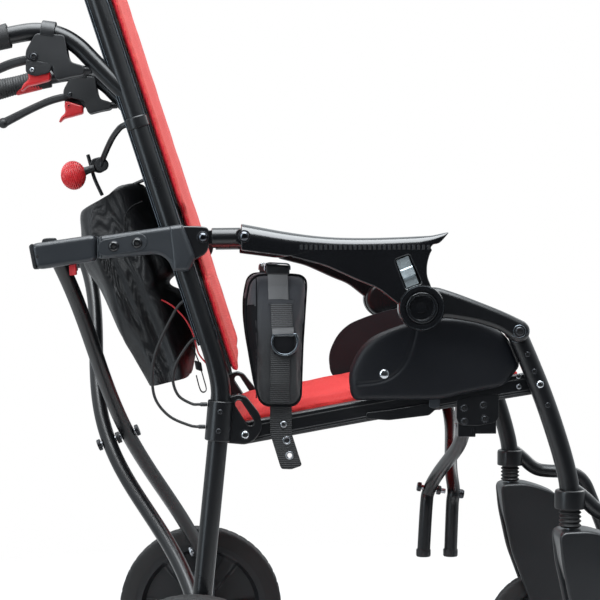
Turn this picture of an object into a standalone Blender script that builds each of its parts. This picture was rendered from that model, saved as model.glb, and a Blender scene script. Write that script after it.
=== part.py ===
import math

import bmesh
import bpy
from mathutils import Matrix, Vector

# Folding special needs stroller, seen from the occupant's right in its side view.
# X runs forward, Y to the occupant's left and Z up from the floor.
# Side coordinates are (x, z) pairs measured from a datum near the seat plate;
# DATUM_SHIFT moves the finished stroller so that its box is centred on the origin.
# A lane is a pair of distances from the middle plane, written for the left side.

DATUM_SHIFT = 0.1959

CLEARANCE = 0.0003
PIN_CLEARANCE = 0.0004
PIN_ROOT = 0.0010
PIN_END = 0.0010
OVERCUT = 0.0100
THROUGH_LANE = (0.0500, 0.2900)

# Side frames
SIDE_PLANE = 0.2150
TUBE_RADIUS = 0.0125
BACK_TUBE_TOP = (-0.1793, 1.1150)
BACK_TUBE_KNEE = (0.0065, 0.5450)
REAR_LEG_ROUTE = [
    BACK_TUBE_TOP, BACK_TUBE_KNEE, (0.0120, 0.5240), (0.0156, 0.5050), (0.0160, 0.4860),
    (0.0142, 0.4620), (0.0116, 0.4325), (0.0038, 0.3550), (-0.0160, 0.1580),
]
SEAT_PLATE_THICKNESS = 0.0160
SEAT_PLATE_LANE = (SIDE_PLANE - TUBE_RADIUS, SIDE_PLANE - TUBE_RADIUS + SEAT_PLATE_THICKNESS)
SEAT_PLATE_OUTLINE = [
    (0.0125, 0.4863), (0.0318, 0.4931), (0.0381, 0.4948), (0.0475, 0.4915), (0.0533, 0.4838),
    (0.0650, 0.4693), (0.0675, 0.4500), (0.0573, 0.4365), (0.0475, 0.4313), (0.0125, 0.4345),
]
SEAT_PLATE_TOP = max(height for _, height in SEAT_PLATE_OUTLINE)
SEAT_SLEEVE_ENDS = [(0.0160, 0.4868), (0.0117, 0.4365)]
SEAT_SLEEVE_PLAY = 0.0011
SEAT_SLEEVE_WALL = 0.0029
SEAT_SLEEVE_BORE = TUBE_RADIUS + SEAT_SLEEVE_PLAY
SEAT_SLEEVE_RADIUS = SEAT_SLEEVE_BORE + SEAT_SLEEVE_WALL
SEAT_PLATE_SLOT = [(0.0381, 0.4825), (0.0525, 0.4600)]
SEAT_PLATE_SLOT_RADIUS = 0.0055

# Pivots of the side linkage
RAIL_PIVOT = (0.0461, 0.4441)
ARM_PIVOT = (-0.0063, 0.6908)
ARMREST_PIVOT = (0.0448, 0.6915)
HUB_CENTRE = (0.2620, 0.6038)
LEG_RAIL_PIVOT = (0.4158, 0.5066)
LEG_ARM_PIVOT = (0.3866, 0.5740)
MAIN_PIN_RADIUS = 0.0040
ARM_PIN_RADIUS = 0.0035

# Rear axle and wheels
REAR_AXLE = (-0.0193, 0.1250)
REAR_WHEEL_RADIUS = 0.1250
REAR_WHEEL_WIDTH = 0.0380
REAR_TYRE_DEPTH = 0.0240
REAR_HUB_RADIUS = 0.0200
AXLE_RADIUS = 0.0060
AXLE_SHOULDER_RADIUS = 0.0120
AXLE_ROOT = 0.0100
AXLE_END_INSET = 0.0020
AXLE_BLOCK_INNER = 0.0165
AXLE_BLOCK_OUTER = 0.0180
AXLE_BLOCK_LANE = (SIDE_PLANE - AXLE_BLOCK_INNER, SIDE_PLANE + AXLE_BLOCK_OUTER)
AXLE_BLOCK_OUTLINE = [
    (-0.0370, 0.1850), (0.0030, 0.1850), (0.0020, 0.1150), (-0.0080, 0.1020),
    (-0.0300, 0.1020), (-0.0400, 0.1150),
]
AXLE_BLOCK_BORE_DEPTH = 0.0800
REAR_WHEEL_GAP = 0.0040
REAR_WHEEL_INNER = AXLE_BLOCK_LANE[1] + REAR_WHEEL_GAP
REAR_WHEEL_LANE = (REAR_WHEEL_INNER, REAR_WHEEL_INNER + REAR_WHEEL_WIDTH)

# A wheel's section, as shares of its half width, hub, rim and tyre
HUB_FACE_SHARE = 0.98
HUB_FLARE_SHARE = 1.15
WEB_SHARE = 0.30
WEB_EDGE_SHARE = 0.88
RIM_EDGE_SHARE = 0.94
TYRE_SHOULDER_SHARE = 0.60
TREAD_SHARE = 0.35

# Casters, their forks and their ribbed posts
CASTER_AXIS_X = 0.4570
CASTER_TRAIL = 0.0580
CASTER_RADIUS = 0.0920
CASTER_HALF_WIDTH = 0.0160
CASTER_TYRE_DEPTH = 0.0180
CASTER_HUB_RADIUS = 0.0140
CASTER_AXLE_RADIUS = 0.0040
FORK_WHEEL_GAP = 0.0030
FORK_WALL = 0.0080
FORK_INNER = CASTER_HALF_WIDTH + FORK_WHEEL_GAP
FORK_OUTER = FORK_INNER + FORK_WALL
FORK_TOP = 0.3240
FORK_OUTLINE = [
    (-0.0190, 0.3220), (0.0210, 0.3240), (0.0500, 0.3150), (0.0700, 0.3060), (0.0810, 0.2930),
    (0.0850, 0.2700), (0.0840, 0.2200), (0.0790, 0.1500), (0.0740, 0.0950), (0.0660, 0.0800),
    (0.0580, 0.0760), (0.0490, 0.0790), (0.0420, 0.0900), (0.0240, 0.1500), (-0.0020, 0.2200),
    (-0.0150, 0.2800),
]
FORK_CROWN_BOTTOM = 0.2500
FORK_THROAT_SPAN = (-0.0600, 0.1500)
FORK_THROAT_BOTTOM = 0.0500
FORK_LEVEL_SPAN = (-0.0300, 0.0155)
FORK_LEVEL_DEPTH = 0.0004
FORK_STEM_BORE_DEPTH = 0.0260
POST_SPIGOT_RADIUS = 0.0060
POST_SPIGOT_GAP = 0.0020
POST_GAP = 0.0006
POST_TOP = 0.3520
POST_RINGS = 5
POST_WAIST_RADIUS = 0.0118
POST_CREST_RADIUS = 0.0141
POST_ENTRY = 0.0032
SPRING_TRAVEL = 0.0120
POCKET_PLAY = 0.0007
POCKET_END_GAP = 0.0028
COLLAR_WALL = 0.0047
COLLAR_ROOF = 0.0057
POCKET_RADIUS = POST_CREST_RADIUS + POCKET_PLAY
COLLAR_RADIUS = POCKET_RADIUS + COLLAR_WALL
COLLAR_BOTTOM = POST_TOP - POST_ENTRY
COLLAR_POCKET_TOP = POST_TOP + SPRING_TRAVEL + POCKET_END_GAP
COLLAR_TOP = COLLAR_POCKET_TOP + COLLAR_ROOF

# Front leg and footrest
LEG_TUBE_RADIUS = 0.0125
LEG_CROWN_MARGIN = 0.0006
LEG_CROWN_INNER_INSET = 0.0010
LEG_CROWN_OUTER_INSET = 0.0002
FRONT_LEG_ROUTE = [
    LEG_ARM_PIVOT, (0.4000, 0.5444), LEG_RAIL_PIVOT, (0.4260, 0.4800), (0.4363, 0.4500),
    (CASTER_AXIS_X - 0.0100, POST_TOP + 0.0640), (CASTER_AXIS_X - 0.0020, POST_TOP + 0.0320),
    (CASTER_AXIS_X, POST_TOP + 0.0120),
]
HANGER_RADIUS = 0.0100
FOOT_PIVOT = (0.6240, 0.2020)
HANGER_ROUTE = [
    (CASTER_AXIS_X - 0.0010, POST_TOP + 0.0230), (CASTER_AXIS_X + 0.0170, POST_TOP + 0.0100),
    (CASTER_AXIS_X + 0.0310, POST_TOP - 0.0040), (CASTER_AXIS_X + 0.0430, POST_TOP - 0.0110),
    (CASTER_AXIS_X + 0.0580, POST_TOP - 0.0130), (CASTER_AXIS_X + 0.0880, POST_TOP - 0.0140),
    (CASTER_AXIS_X + 0.1050, POST_TOP - 0.0190), (CASTER_AXIS_X + 0.1170, POST_TOP - 0.0320),
    (FOOT_PIVOT[0] - 0.0290, FOOT_PIVOT[1] + 0.0660),
    (FOOT_PIVOT[0] - 0.0110, FOOT_PIVOT[1] + 0.0180),
]
FOOT_WIDTH = 0.1235
FOOT_OUTER = 0.0140
FOOT_LANE = (SIDE_PLANE + FOOT_OUTER - FOOT_WIDTH, SIDE_PLANE + FOOT_OUTER)
FOOT_LENGTH = 0.1080
FOOT_THICKNESS = 0.0080
FOOT_EDGE_START = 0.0240
FOOT_EDGE_OVERLAP = 0.0040
FOOT_BARREL_RADIUS = 0.0085
FOOT_PIN_RADIUS = 0.0035
FOOT_PIN_INSET = 0.0020
FOOT_PIN_ROOT = 0.0040
FOOT_KNUCKLE_INNER = 0.0130
FOOT_KNUCKLE_LANE = (SIDE_PLANE - FOOT_KNUCKLE_INNER, FOOT_LANE[1])

# Scissor brace below the seat
BRACE_TOP_RIGHT = 0.3275
BRACE_TOP_LEFT = 0.3538
BRACE_PIVOT_Y = 0.1800
BRACE_PIVOT_Z = 0.4500
BRACE_RADIUS = 0.0090
BRACE_SOCKET_WIDTH = 0.0204
BRACE_SWEEP_RADIUS = 0.0126
BRACE_PIN_RADIUS = 0.0035
BRACE_PIN_ROOT = 0.0017
BRACE_BORE_REACH = 0.0300
BRACE_OVERHANG = 0.0080
BRACE_BOLT_Z = 0.3410
BRACE_ROUTE_RIGHT = [
    (BRACE_TOP_RIGHT, BRACE_PIVOT_Z), (0.3268, 0.4180), (0.3138, 0.3700),
    (0.3046, BRACE_BOLT_Z), (0.3010, 0.3200), (0.2970, 0.2500),
]
BRACE_ROUTE_LEFT = [
    (BRACE_TOP_LEFT, BRACE_PIVOT_Z), (0.3530, 0.4180), (0.3400, 0.3700),
    (0.3393, BRACE_BOLT_Z), (0.3375, 0.3200), (0.3350, 0.2500),
]
BRACE_ROUTE_SHARE = [1.0, 0.72, 0.18, 0.0, 0.0, 0.0]
BRACE_BOLT_SLOPE = -0.1763
BRACE_BOLT_GAP = 0.0020
BRACE_HEAD_RADIUS = 0.0065
BRACE_HEAD_HEIGHT = 0.0055
BRACE_CROSSING = 3
BRACE_STEPS = 2

# Seat rail and the bracket below it
RAIL_THICKNESS = 0.0197
RAIL_OUTER = SIDE_PLANE - TUBE_RADIUS - CLEARANCE
RAIL_LANE = (RAIL_OUTER - RAIL_THICKNESS, RAIL_OUTER)
RAIL_HALF_HEIGHT = 0.0140
RAIL_CENTRE_LINE = [RAIL_PIVOT, (0.2088, 0.4738), LEG_RAIL_PIVOT]
RAIL_PIN_INSET = 0.0020
RAIL_PIN_ROOT = 0.0040
LEG_PIN_ROOT = 0.0045
BRACKET_REAR_WALL = 0.0033
BRACKET_FRONT_WALL = 0.0040
BRACKET_SPAN = (
    BRACE_TOP_RIGHT - BRACE_SOCKET_WIDTH / 2 - BRACKET_REAR_WALL,
    BRACE_TOP_LEFT + BRACE_SOCKET_WIDTH / 2 + BRACKET_FRONT_WALL,
)
BRACKET_REACH = 0.0125
BRACKET_INSET = 0.0002
BRACKET_LANE = (RAIL_LANE[0] - BRACKET_REACH, RAIL_LANE[1] - BRACKET_INSET)
BRACKET_BOTTOM = 0.4380
BRACKET_TOP = 0.4825

# Rear cross tubes
CROSS_BOTTOM = (-0.0200, 0.2300)
CROSS_TOP = (-0.1860, 0.6530)
CROSS_BOTTOM_Y = 0.1760
CROSS_TOP_Y = 0.1720
CROSS_RADIUS = 0.0100
CROSS_BOLT_REACH = 0.2138
CROSS_BOW_FRONT = -0.0176
CROSS_BOW_REAR = -0.0456
CROSS_STEPS = 13
CROSS_END_OVERLAP = 0.0100
CROSS_BORE_REACH = 0.0300
CROSS_BORE_BACK = 0.0900
CROSS_BOLT_RADIUS = 0.0040
CROSS_HEAD_RADIUS = 0.0080
CROSS_HEAD_HEIGHT = 0.0050
CROSS_DISC_GAP = 0.0014
CROSS_LUG_GAP = 0.0018
CROSS_LUG_FRONT = CROSS_RADIUS + CROSS_LUG_GAP
CROSS_LUG_THICKNESS = 0.0060
CROSS_LUG_HALF = 0.0110
CROSS_WEB_RADIUS = 0.0056
CROSS_PIN_REACH = 0.0060
EAR_WEB_RISE = 0.0080
EAR_WEB_INSET = 0.0040

# Sliding runner, outrigger and arm tube
RUNNER_HALF = 0.0175
RUNNER_LANE = (SIDE_PLANE - RUNNER_HALF, SIDE_PLANE + RUNNER_HALF)
RUNNER_OUTLINE = [
    (-0.1375, 0.6916), (-0.0330, 0.7067), (-0.0165, 0.6638), (-0.0235, 0.6488), (-0.0440, 0.6488),
    (-0.0470, 0.6590), (-0.0555, 0.6675), (-0.0660, 0.6700), (-0.1375, 0.6635),
]
RUNNER_LOW = min(height for _, height in RUNNER_OUTLINE)
RUNNER_HIGH = max(height for _, height in RUNNER_OUTLINE)
RUNNER_BORE = TUBE_RADIUS + PIN_CLEARANCE
RUNNER_PAD_ENDS = [(-0.1250, 0.6775), (-0.0850, 0.6850)]
RUNNER_PAD_RADIUS = 0.0105
RUNNER_PAD_RISE = 0.0016
RUNNER_PAD_ROOT = 0.0020
RUNNER_LUG_HALF = 0.0120
RUNNER_LUG_LANE = (SIDE_PLANE - RUNNER_LUG_HALF, SIDE_PLANE + RUNNER_LUG_HALF)
RUNNER_LUG_OUTLINE = [
    (-0.0400, 0.7050), (-0.0100, 0.7045), (0.0010, 0.7030), (0.0010, 0.6780), (-0.0040, 0.6690),
    (-0.0140, 0.6640), (-0.0220, 0.6580), (-0.0300, 0.6520),
]
TONGUE_HALF = 0.0050
TONGUE_LANE = (SIDE_PLANE - TONGUE_HALF, SIDE_PLANE + TONGUE_HALF)
TONGUE_RADIUS = 0.0090
LUG_SLOT_LANE = (TONGUE_LANE[0] - PIN_CLEARANCE, TONGUE_LANE[1] + PIN_CLEARANCE)
LUG_SLOT_BACK = -0.0170
OUTRIGGER_HALF = 0.0165
OUTRIGGER_LANE = (SIDE_PLANE - OUTRIGGER_HALF, SIDE_PLANE + OUTRIGGER_HALF)
OUTRIGGER_OUTLINE = [
    (-0.2205, 0.6795), (-0.2170, 0.6830), (-0.1378, 0.6943), (-0.1378, 0.6612), (-0.2120, 0.6500),
    (-0.2155, 0.6530),
]
OUTRIGGER_HOLE = (-0.2100, 0.6665)
OUTRIGGER_HOLE_RADIUS = 0.0030
OUTRIGGER_CAP_HALF = 0.0090
OUTRIGGER_CAP_LANE = (SIDE_PLANE - OUTRIGGER_CAP_HALF, SIDE_PLANE + OUTRIGGER_CAP_HALF)
OUTRIGGER_CAP_SPAN = (-0.2060, -0.1890)
OUTRIGGER_CAP_HEIGHTS = (0.6750, 0.6890)
ARM_TUBE_RADIUS = 0.0115
ARM_TUBE_ENDS = [(0.0045, 0.6910), ARMREST_PIVOT]

# Front arm, armrest, hub and latch
FRONT_ARM_THICKNESS = 0.0163
FRONT_ARM_INNER = SIDE_PLANE + LEG_TUBE_RADIUS + PIN_CLEARANCE
FRONT_ARM_LANE = (FRONT_ARM_INNER, FRONT_ARM_INNER + FRONT_ARM_THICKNESS)
FRONT_ARM_HUB_RADIUS = 0.0262
FRONT_ARM_END_RADIUS = 0.0140
FRONT_ARM_LOWER_EDGE = [(0.2900, 0.5910), (0.3130, 0.5880), (0.3400, 0.5830), (0.3650, 0.5740)]
FRONT_ARM_UPPER_EDGE = [(0.3700, 0.5975), (0.3400, 0.6094), (0.3080, 0.6215), (0.2840, 0.6290)]
ARMREST_WEB_THICKNESS = 0.0164
ARMREST_WEB_INNER = FRONT_ARM_LANE[1] + PIN_CLEARANCE
ARMREST_WEB_LANE = (ARMREST_WEB_INNER, ARMREST_WEB_INNER + ARMREST_WEB_THICKNESS)
ARMREST_INNER = 0.0080
ARMREST_LANE = (SIDE_PLANE - ARMREST_INNER, ARMREST_WEB_LANE[1])
ARMREST_OUTLINE = [
    (0.0409, 0.7071), (0.0988, 0.6963), (0.1436, 0.6904), (0.1883, 0.6893), (0.2329, 0.6904),
    (0.2775, 0.6926), (0.2975, 0.6958), (0.2988, 0.6960), (0.2931, 0.6875), (0.2863, 0.6825),
    (0.2813, 0.6790), (0.2756, 0.6675), (0.2738, 0.6600), (0.1436, 0.6600), (0.1213, 0.6614),
    (0.0988, 0.6670), (0.0383, 0.6750),
]
ARMREST_WEB_OUTLINE = [
    (0.1213, 0.6700), (0.1436, 0.6558), (0.1659, 0.6458), (0.1838, 0.6375), (0.2094, 0.6275),
    (0.2341, 0.6077), HUB_CENTRE, (0.2763, 0.6332), (0.2744, 0.6420), (0.2725, 0.6533),
    (0.2756, 0.6675), (0.2760, 0.6750),
]
ARMREST_SLOT_GAP = 0.0005
ARMREST_SLOT_PLAY = 0.0011
ARMREST_SLOT_LANE = (ARMREST_LANE[0] - OVERCUT, SIDE_PLANE + ARM_TUBE_RADIUS + ARMREST_SLOT_GAP)
ARMREST_SLOT_SPAN = (0.0200, ARMREST_PIVOT[0] + ARM_TUBE_RADIUS + ARMREST_SLOT_PLAY)
ARMREST_SLOT_HEIGHTS = (0.6400, 0.7400)
ARMREST_PIN_OVERHANG = 0.0010
ARMREST_PIN_ROOT = 0.0040
HUB_RADIUS = 0.0282
HUB_CAP_DEPTH = 0.0067
HUB_CAP_LANE = (ARMREST_LANE[1] + CLEARANCE, ARMREST_LANE[1] + CLEARANCE + HUB_CAP_DEPTH)
HUB_CAP_PROFILE = [(0.0155, 0.90), (0.0165, 0.35), (0.0200, 0.35), (0.0215, 0.95), (HUB_RADIUS, 0.80)]
LATCH_CENTRE_LINE = [(0.2400, 0.6610), (0.2525, 0.6290)]
LATCH_HALF_WIDTH = 0.0085
LATCH_THICKNESS = 0.0025
LATCH_RECESS = 0.0035
LATCH_OUTER = ARMREST_LANE[1] - LATCH_RECESS
LATCH_LANE = (LATCH_OUTER - LATCH_THICKNESS, LATCH_OUTER)
LATCH_POCKET_GAP = 0.0040
LATCH_POCKET_MARGIN = 0.0030
LATCH_POCKET_FLOOR = LATCH_LANE[0] - LATCH_POCKET_GAP
LATCH_PIN_RADIUS = 0.0020

# Push handle, brake lever and its lock
HANDLE_RADIUS = 0.0110
HANDLE_ROUTE = [
    (-0.0960, 0.8640), (-0.1170, 0.8840), (-0.1430, 0.9100), (-0.1610, 0.9290), (-0.1830, 0.9420),
    (-0.2120, 0.9465), (-0.2430, 0.9410), (-0.3330, 0.9185),
]
HANDLE_SADDLE_HEIGHTS = (0.8000, 0.9500)
HANDLE_TRIM_SPAN = (-0.1000, 0.0000)
HANDLE_TRIM_HEIGHTS = (0.8000, 0.8945)
HANDLE_TRIM_HALF = 0.0250
GRIP_RADIUS = 0.0160
GRIP_EDGE = 0.0030
GRIP_BORE_REACH = 0.0500
GRIP_ENDS = [(-0.2450, 0.9405), (-0.3370, 0.9175)]
PERCH_HALF = 0.0120
PERCH_LANE = (SIDE_PLANE - PERCH_HALF, SIDE_PLANE + PERCH_HALF)
PERCH_OUTLINE = [
    (-0.2120, 0.9420), (-0.2240, 0.9200), (-0.2240, 0.9105), (-0.1915, 0.9035), (-0.1900, 0.8930),
    (-0.1863, 0.8840), (-0.1700, 0.8885), (-0.1517, 0.8920), (-0.1517, 0.9020), (-0.1680, 0.9066),
    (-0.1720, 0.9135), (-0.1760, 0.9400),
]
PERCH_REAR = min(x for x, _ in PERCH_OUTLINE)
PERCH_CHEEK_THICKNESS = 0.0050
PERCH_CHEEK_LANE = (PERCH_LANE[1] - PERCH_CHEEK_THICKNESS, PERCH_LANE[1])
PERCH_CHEEK_OUTLINE = [
    (-0.2240, 0.9100), (-0.2240, 0.8930), (-0.2130, 0.8890), (-0.1950, 0.8930), (-0.1900, 0.9050),
]
LEVER_PIVOT = (-0.2140, 0.9130)
LEVER_PIN_RADIUS = 0.0030
LEVER_HALF = 0.0056
LEVER_LANE = (SIDE_PLANE - LEVER_HALF, SIDE_PLANE + LEVER_HALF)
LEVER_SLOT_LANE = (LEVER_LANE[0] - PIN_CLEARANCE, LEVER_LANE[1] + PIN_CLEARANCE)
LEVER_SLOT_FRONT = -0.2020
LEVER_SLOT_HEIGHTS = (0.8990, 0.9285)
LEVER_OUTLINE = [
    (-0.2080, 0.9170), (-0.2070, 0.9110), (-0.2100, 0.9070), (-0.2240, 0.9050), (-0.2430, 0.9000),
    (-0.2700, 0.8880), (-0.3120, 0.8650), (-0.3190, 0.8660), (-0.3210, 0.8720), (-0.3170, 0.8770),
    (-0.2760, 0.8970), (-0.2450, 0.9110), (-0.2240, 0.9160),
]
TRIGGER_PIVOT = (-0.2160, 0.8967)
TRIGGER_INNER = 0.0100
TRIGGER_LANE = (SIDE_PLANE - TRIGGER_INNER, PERCH_CHEEK_LANE[0] - PIN_CLEARANCE)
TRIGGER_PIN_RADIUS = 0.0025
TRIGGER_OUTLINE = [
    (-0.2205, 0.9040), (-0.1945, 0.8965), (-0.1946, 0.8843), (-0.2144, 0.8788), (-0.2300, 0.8727),
    (-0.2310, 0.8750), (-0.2214, 0.8870), (-0.2230, 0.8980),
]

# Recline lever beside the bag
KNOB_PIVOT = (-0.1370, 0.7850)
KNOB_CENTRE = (-0.1734, 0.7714)
KNOB_RADIUS = 0.0160
KNOB_STRETCH = 1.15
KNOB_COLUMNS = 14
KNOB_ROWS = 8
KNOB_LANE = -0.1500
KNOB_PLATE_LANE = (-0.1480, -0.1420)
KNOB_PLATE_OUTLINE = [
    (-0.1600, 0.7960), (-0.1480, 0.7990), (-0.1290, 0.7910), (-0.1300, 0.7800), (-0.1270, 0.7500),
    (-0.1330, 0.7440), (-0.1400, 0.7480), (-0.1480, 0.7720), (-0.1620, 0.7690), (-0.1640, 0.7740),
]
KNOB_STAY_ROUTE = [
    (-0.0960, -SIDE_PLANE, 0.8330), (-0.1080, -0.2120, 0.8290), (-0.1200, -0.1900, 0.8180),
    (-0.1300, -0.1680, 0.8020), (-0.1360, -0.1570, 0.7900), (-0.1370, -0.1560, 0.7800),
]
KNOB_STAY_RADIUS = 0.0050
KNOB_SADDLE_HEIGHTS = (0.8220, 0.8460)
KNOB_SADDLE_OFFSET = -0.0090
KNOB_SADDLE_RADIUS = 0.0100
KNOB_SADDLE_BORE_HEIGHTS = (0.7800, 0.9000)
KNOB_NUT_RADIUS = 0.0085
KNOB_NUT_HEIGHT = 0.0117
KNOB_PIN_RADIUS = 0.0030

# Soft pieces
BACK_PAD_HALF_WIDTH = 0.2150
BACK_PAD_BACK = 0.0128
BACK_PAD_FRONT = 0.0304
BACK_PAD_CROWN = 0.0050
BACK_PAD_LIFT = 0.0312
BACK_PAD_SPAN = (SEAT_PLATE_TOP + BACK_PAD_LIFT, 1.0980)
BACK_PAD_NOTCH_BELOW = 0.0128
BACK_PAD_NOTCH_ABOVE = 0.0093
BACK_PAD_NOTCH_GAP = 0.0010
BACK_PAD_NOTCH_HEIGHTS = (RUNNER_LOW - BACK_PAD_NOTCH_BELOW, RUNNER_HIGH + BACK_PAD_NOTCH_ABOVE)
BACK_PAD_NOTCH_LANE = (RUNNER_LANE[0] - BACK_PAD_NOTCH_GAP, BACK_PAD_HALF_WIDTH + OVERCUT)
BACK_PAD_NOTCH_SPAN = (-0.0800, 0.0600)
SEAT_PAD_HALF_WIDTH = RAIL_LANE[0] - CLEARANCE
SEAT_PAD_SPAN = (0.0500, 0.3980)
SEAT_PAD_THICKNESS = 0.0200
SEAT_PAD_SAG = 0.0080
PAD_COLUMNS = 8
BACK_PAD_ROWS = 15
SEAT_PAD_ROWS = 10
PAD_EDGE_DRAW = 0.0045
PAD_EDGE_POWER = 6
PAD_END_POWER = 8
PANEL_CORE = 0.05
PANEL_SWELL = [(1.0, 0.35), (0.95, 0.78), (0.80, 0.96), (0.45, 1.0), (PANEL_CORE, 1.0)]
GUARD_THICKNESS = 0.0125
GUARD_LANE = (RAIL_LANE[1] + CLEARANCE, RAIL_LANE[1] + CLEARANCE + GUARD_THICKNESS)
GUARD_OUTLINE = [
    (0.1790, 0.4950), (0.1763, 0.5206), (0.1888, 0.5488), (0.2069, 0.5666), (0.2450, 0.5819),
    (0.2863, 0.5913), (0.3325, 0.5843), (0.3720, 0.5640), (0.3830, 0.5175), (0.3750, 0.5035),
    (0.3150, 0.4920), (0.2900, 0.4860), (0.1840, 0.4860),
]
HIP_PIVOT = (0.0946, 0.4556)
HIP_PIN_RADIUS = 0.0028
HIP_PIN_ROOT = 0.0030
HIP_GAP = 0.0012
HIP_INNER = RAIL_LANE[1] + HIP_GAP
HIP_PAD_THICKNESS = 0.0206
HIP_STRAP_THICKNESS = 0.0018
HIP_SEAM_THICKNESS = 0.0116
HIP_PAD_LANE = (HIP_INNER, HIP_INNER + HIP_PAD_THICKNESS)
HIP_STRAP_LANE = (HIP_INNER, HIP_INNER + HIP_STRAP_THICKNESS)
HIP_SEAM_LANE = (HIP_INNER, HIP_INNER + HIP_SEAM_THICKNESS)
HIP_SEAM_HEIGHTS = (0.4820, 0.4990)
HIP_PAD_OUTLINE = [
    (0.0725, 0.6444), (0.0600, 0.6400), (0.0495, 0.6300), (0.0463, 0.6100), (0.0471, 0.5788),
    (0.0525, 0.5250), (0.0605, 0.4870), (0.0720, 0.4785), (0.1060, 0.4785), (0.1163, 0.4870),
    (0.1225, 0.5500), (0.1245, 0.5850), (0.1235, 0.6250), (0.1175, 0.6425),
]
HIP_STRAP_SPAN = (0.0775, 0.1050)
HIP_STRAP_OUTLINE = [
    (HIP_STRAP_SPAN[0], 0.4900), (HIP_STRAP_SPAN[0], 0.4440), (0.0912, 0.4000), (0.1040, 0.3985),
    (0.1180, 0.4030), (HIP_STRAP_SPAN[1], 0.4440), (HIP_STRAP_SPAN[1], 0.4900),
]
BAG_HALF_WIDTH = 0.1320
BAG_REAR_LINE = [
    (-0.1530, 0.7285), (-0.1710, 0.7180), (-0.1710, 0.6950), (-0.1655, 0.6600), (-0.1455, 0.6230),
    (-0.1330, 0.5900), (-0.1140, 0.5600), (-0.1010, 0.5440), (-0.0880, 0.5180), (-0.0800, 0.5020),
]
BAG_FRONT_LINE = [
    (-0.1130, 0.7640), (-0.0930, 0.7640), (-0.0890, 0.7300), (-0.0800, 0.7000), (-0.0700, 0.6700),
    (-0.0610, 0.6400), (-0.0520, 0.6100), (-0.0430, 0.5750), (-0.0330, 0.5400), (-0.0260, 0.5120),
]
BAG_COLUMNS = 10
BAG_CORNER_SHARE = 0.35
BAG_FOLD_DEPTH = 0.0040
BAG_FOLDS = 3.0
BAG_FOLD_DRIFT = 0.9
BAG_STRAP_Y = 0.0900
BAG_STRAP_WIDTH = 0.0250
BAG_STRAP_HEIGHTS = (0.7760, 0.7790)
BAG_STRAP_ROOT = (-0.0040, -0.0100)

# Cables held along the right rear frame
CABLE_RADIUS = 0.0018
RECLINE_CABLE_HEIGHTS = (0.6160, 0.4540)
RECLINE_CABLE_ROUTE = [
    (-0.0400, 0.6010), (-0.0590, 0.5640), (-0.0680, 0.5380), (-0.0700, 0.5120),
    (-0.0650, 0.4870), (-0.0480, 0.4670), (-0.0240, 0.4560), (-0.0120, 0.4540),
]
BRAKE_CABLE_HEIGHTS = (0.5700, 0.4820)
BRAKE_CABLE_ROUTE = [
    (-0.0250, 0.5570), (-0.0400, 0.5330), (-0.0440, 0.5120), (-0.0370, 0.4930), (-0.0210, 0.4830),
    (-0.0120, 0.4820),
]
CABLE_STEPS = 3

# Mesh resolution
DISC_SIDES = 16
HUB_SIDES = 24
WHEEL_SIDES = 24
PIN_SIDES = 10
POST_SIDES = 12
TUBE_RESOLUTION = 3
THIN_RESOLUTION = 2
CORNER_STEPS = 10
CAPSULE_STEPS = 6
SHARP_ANGLE = 35
WELD_DISTANCE = 0.00002
TURN_MERGE = 0.00005


def remove_everything():
    for item in list(bpy.data.objects):
        bpy.data.objects.remove(item, do_unlink=True)


def new_collection(label):
    group = bpy.data.collections.new(label)
    bpy.context.scene.collection.children.link(group)
    return group


def finish(name, colour, roughness, metallic=0.0):
    material = bpy.data.materials.new(name)
    material.use_nodes = True
    shader = material.node_tree.nodes["Principled BSDF"]
    shader.inputs["Base Color"].default_value = (*colour, 1.0)
    shader.inputs["Roughness"].default_value = roughness
    shader.inputs["Metallic"].default_value = metallic
    return material


def satin_black(name):
    return finish(name, (0.014, 0.015, 0.018), 0.38, 0.3)


def cast_grey(name):
    return finish(name, (0.040, 0.044, 0.050), 0.50, 0.3)


def gloss_black(name):
    return finish(name, (0.012, 0.013, 0.016), 0.22)


def red_fabric(name):
    return finish(name, (0.72, 0.055, 0.045), 0.85)


def red_plastic(name):
    return finish(name, (0.70, 0.035, 0.035), 0.35)


def black_fabric(name):
    return finish(name, (0.010, 0.011, 0.015), 0.90)


def grey_neoprene(name):
    return finish(name, (0.030, 0.032, 0.036), 0.95)


def bare_aluminium(name):
    return finish(name, (0.52, 0.55, 0.58), 0.32, 1.0)


def zinc_steel(name):
    return finish(name, (0.35, 0.36, 0.37), 0.30, 1.0)


def black_rubber(name):
    return finish(name, (0.012, 0.012, 0.013), 0.80)


def weld(mesh):
    cage = bmesh.new()
    cage.from_mesh(mesh)
    bmesh.ops.remove_doubles(cage, verts=cage.verts, dist=WELD_DISTANCE)
    bmesh.ops.recalc_face_normals(cage, faces=cage.faces)
    cage.to_mesh(mesh)
    cage.free()


def evaluated_mesh(item):
    bpy.context.scene.collection.objects.link(item)
    bpy.context.view_layer.update()
    graph = bpy.context.evaluated_depsgraph_get()
    mesh = bpy.data.meshes.new_from_object(item.evaluated_get(graph))
    weld(mesh)
    return mesh


def take_mesh(item):
    # The new object takes the old one's place in its mesh, so that it stands at the origin.
    mesh = evaluated_mesh(item)
    mesh.transform(item.matrix_world)
    name = item.name
    bpy.data.objects.remove(item, do_unlink=True)
    return bpy.data.objects.new(name, mesh)


def new_curve(name, dimensions, points, closed):
    data = bpy.data.curves.new(name, "CURVE")
    data.dimensions = dimensions
    line = data.splines.new("POLY")
    line.use_cyclic_u = closed
    line.points.add(len(points) - 1)
    for slot, point in zip(line.points, points):
        slot.co = (*point, 1.0)
    return data


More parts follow.
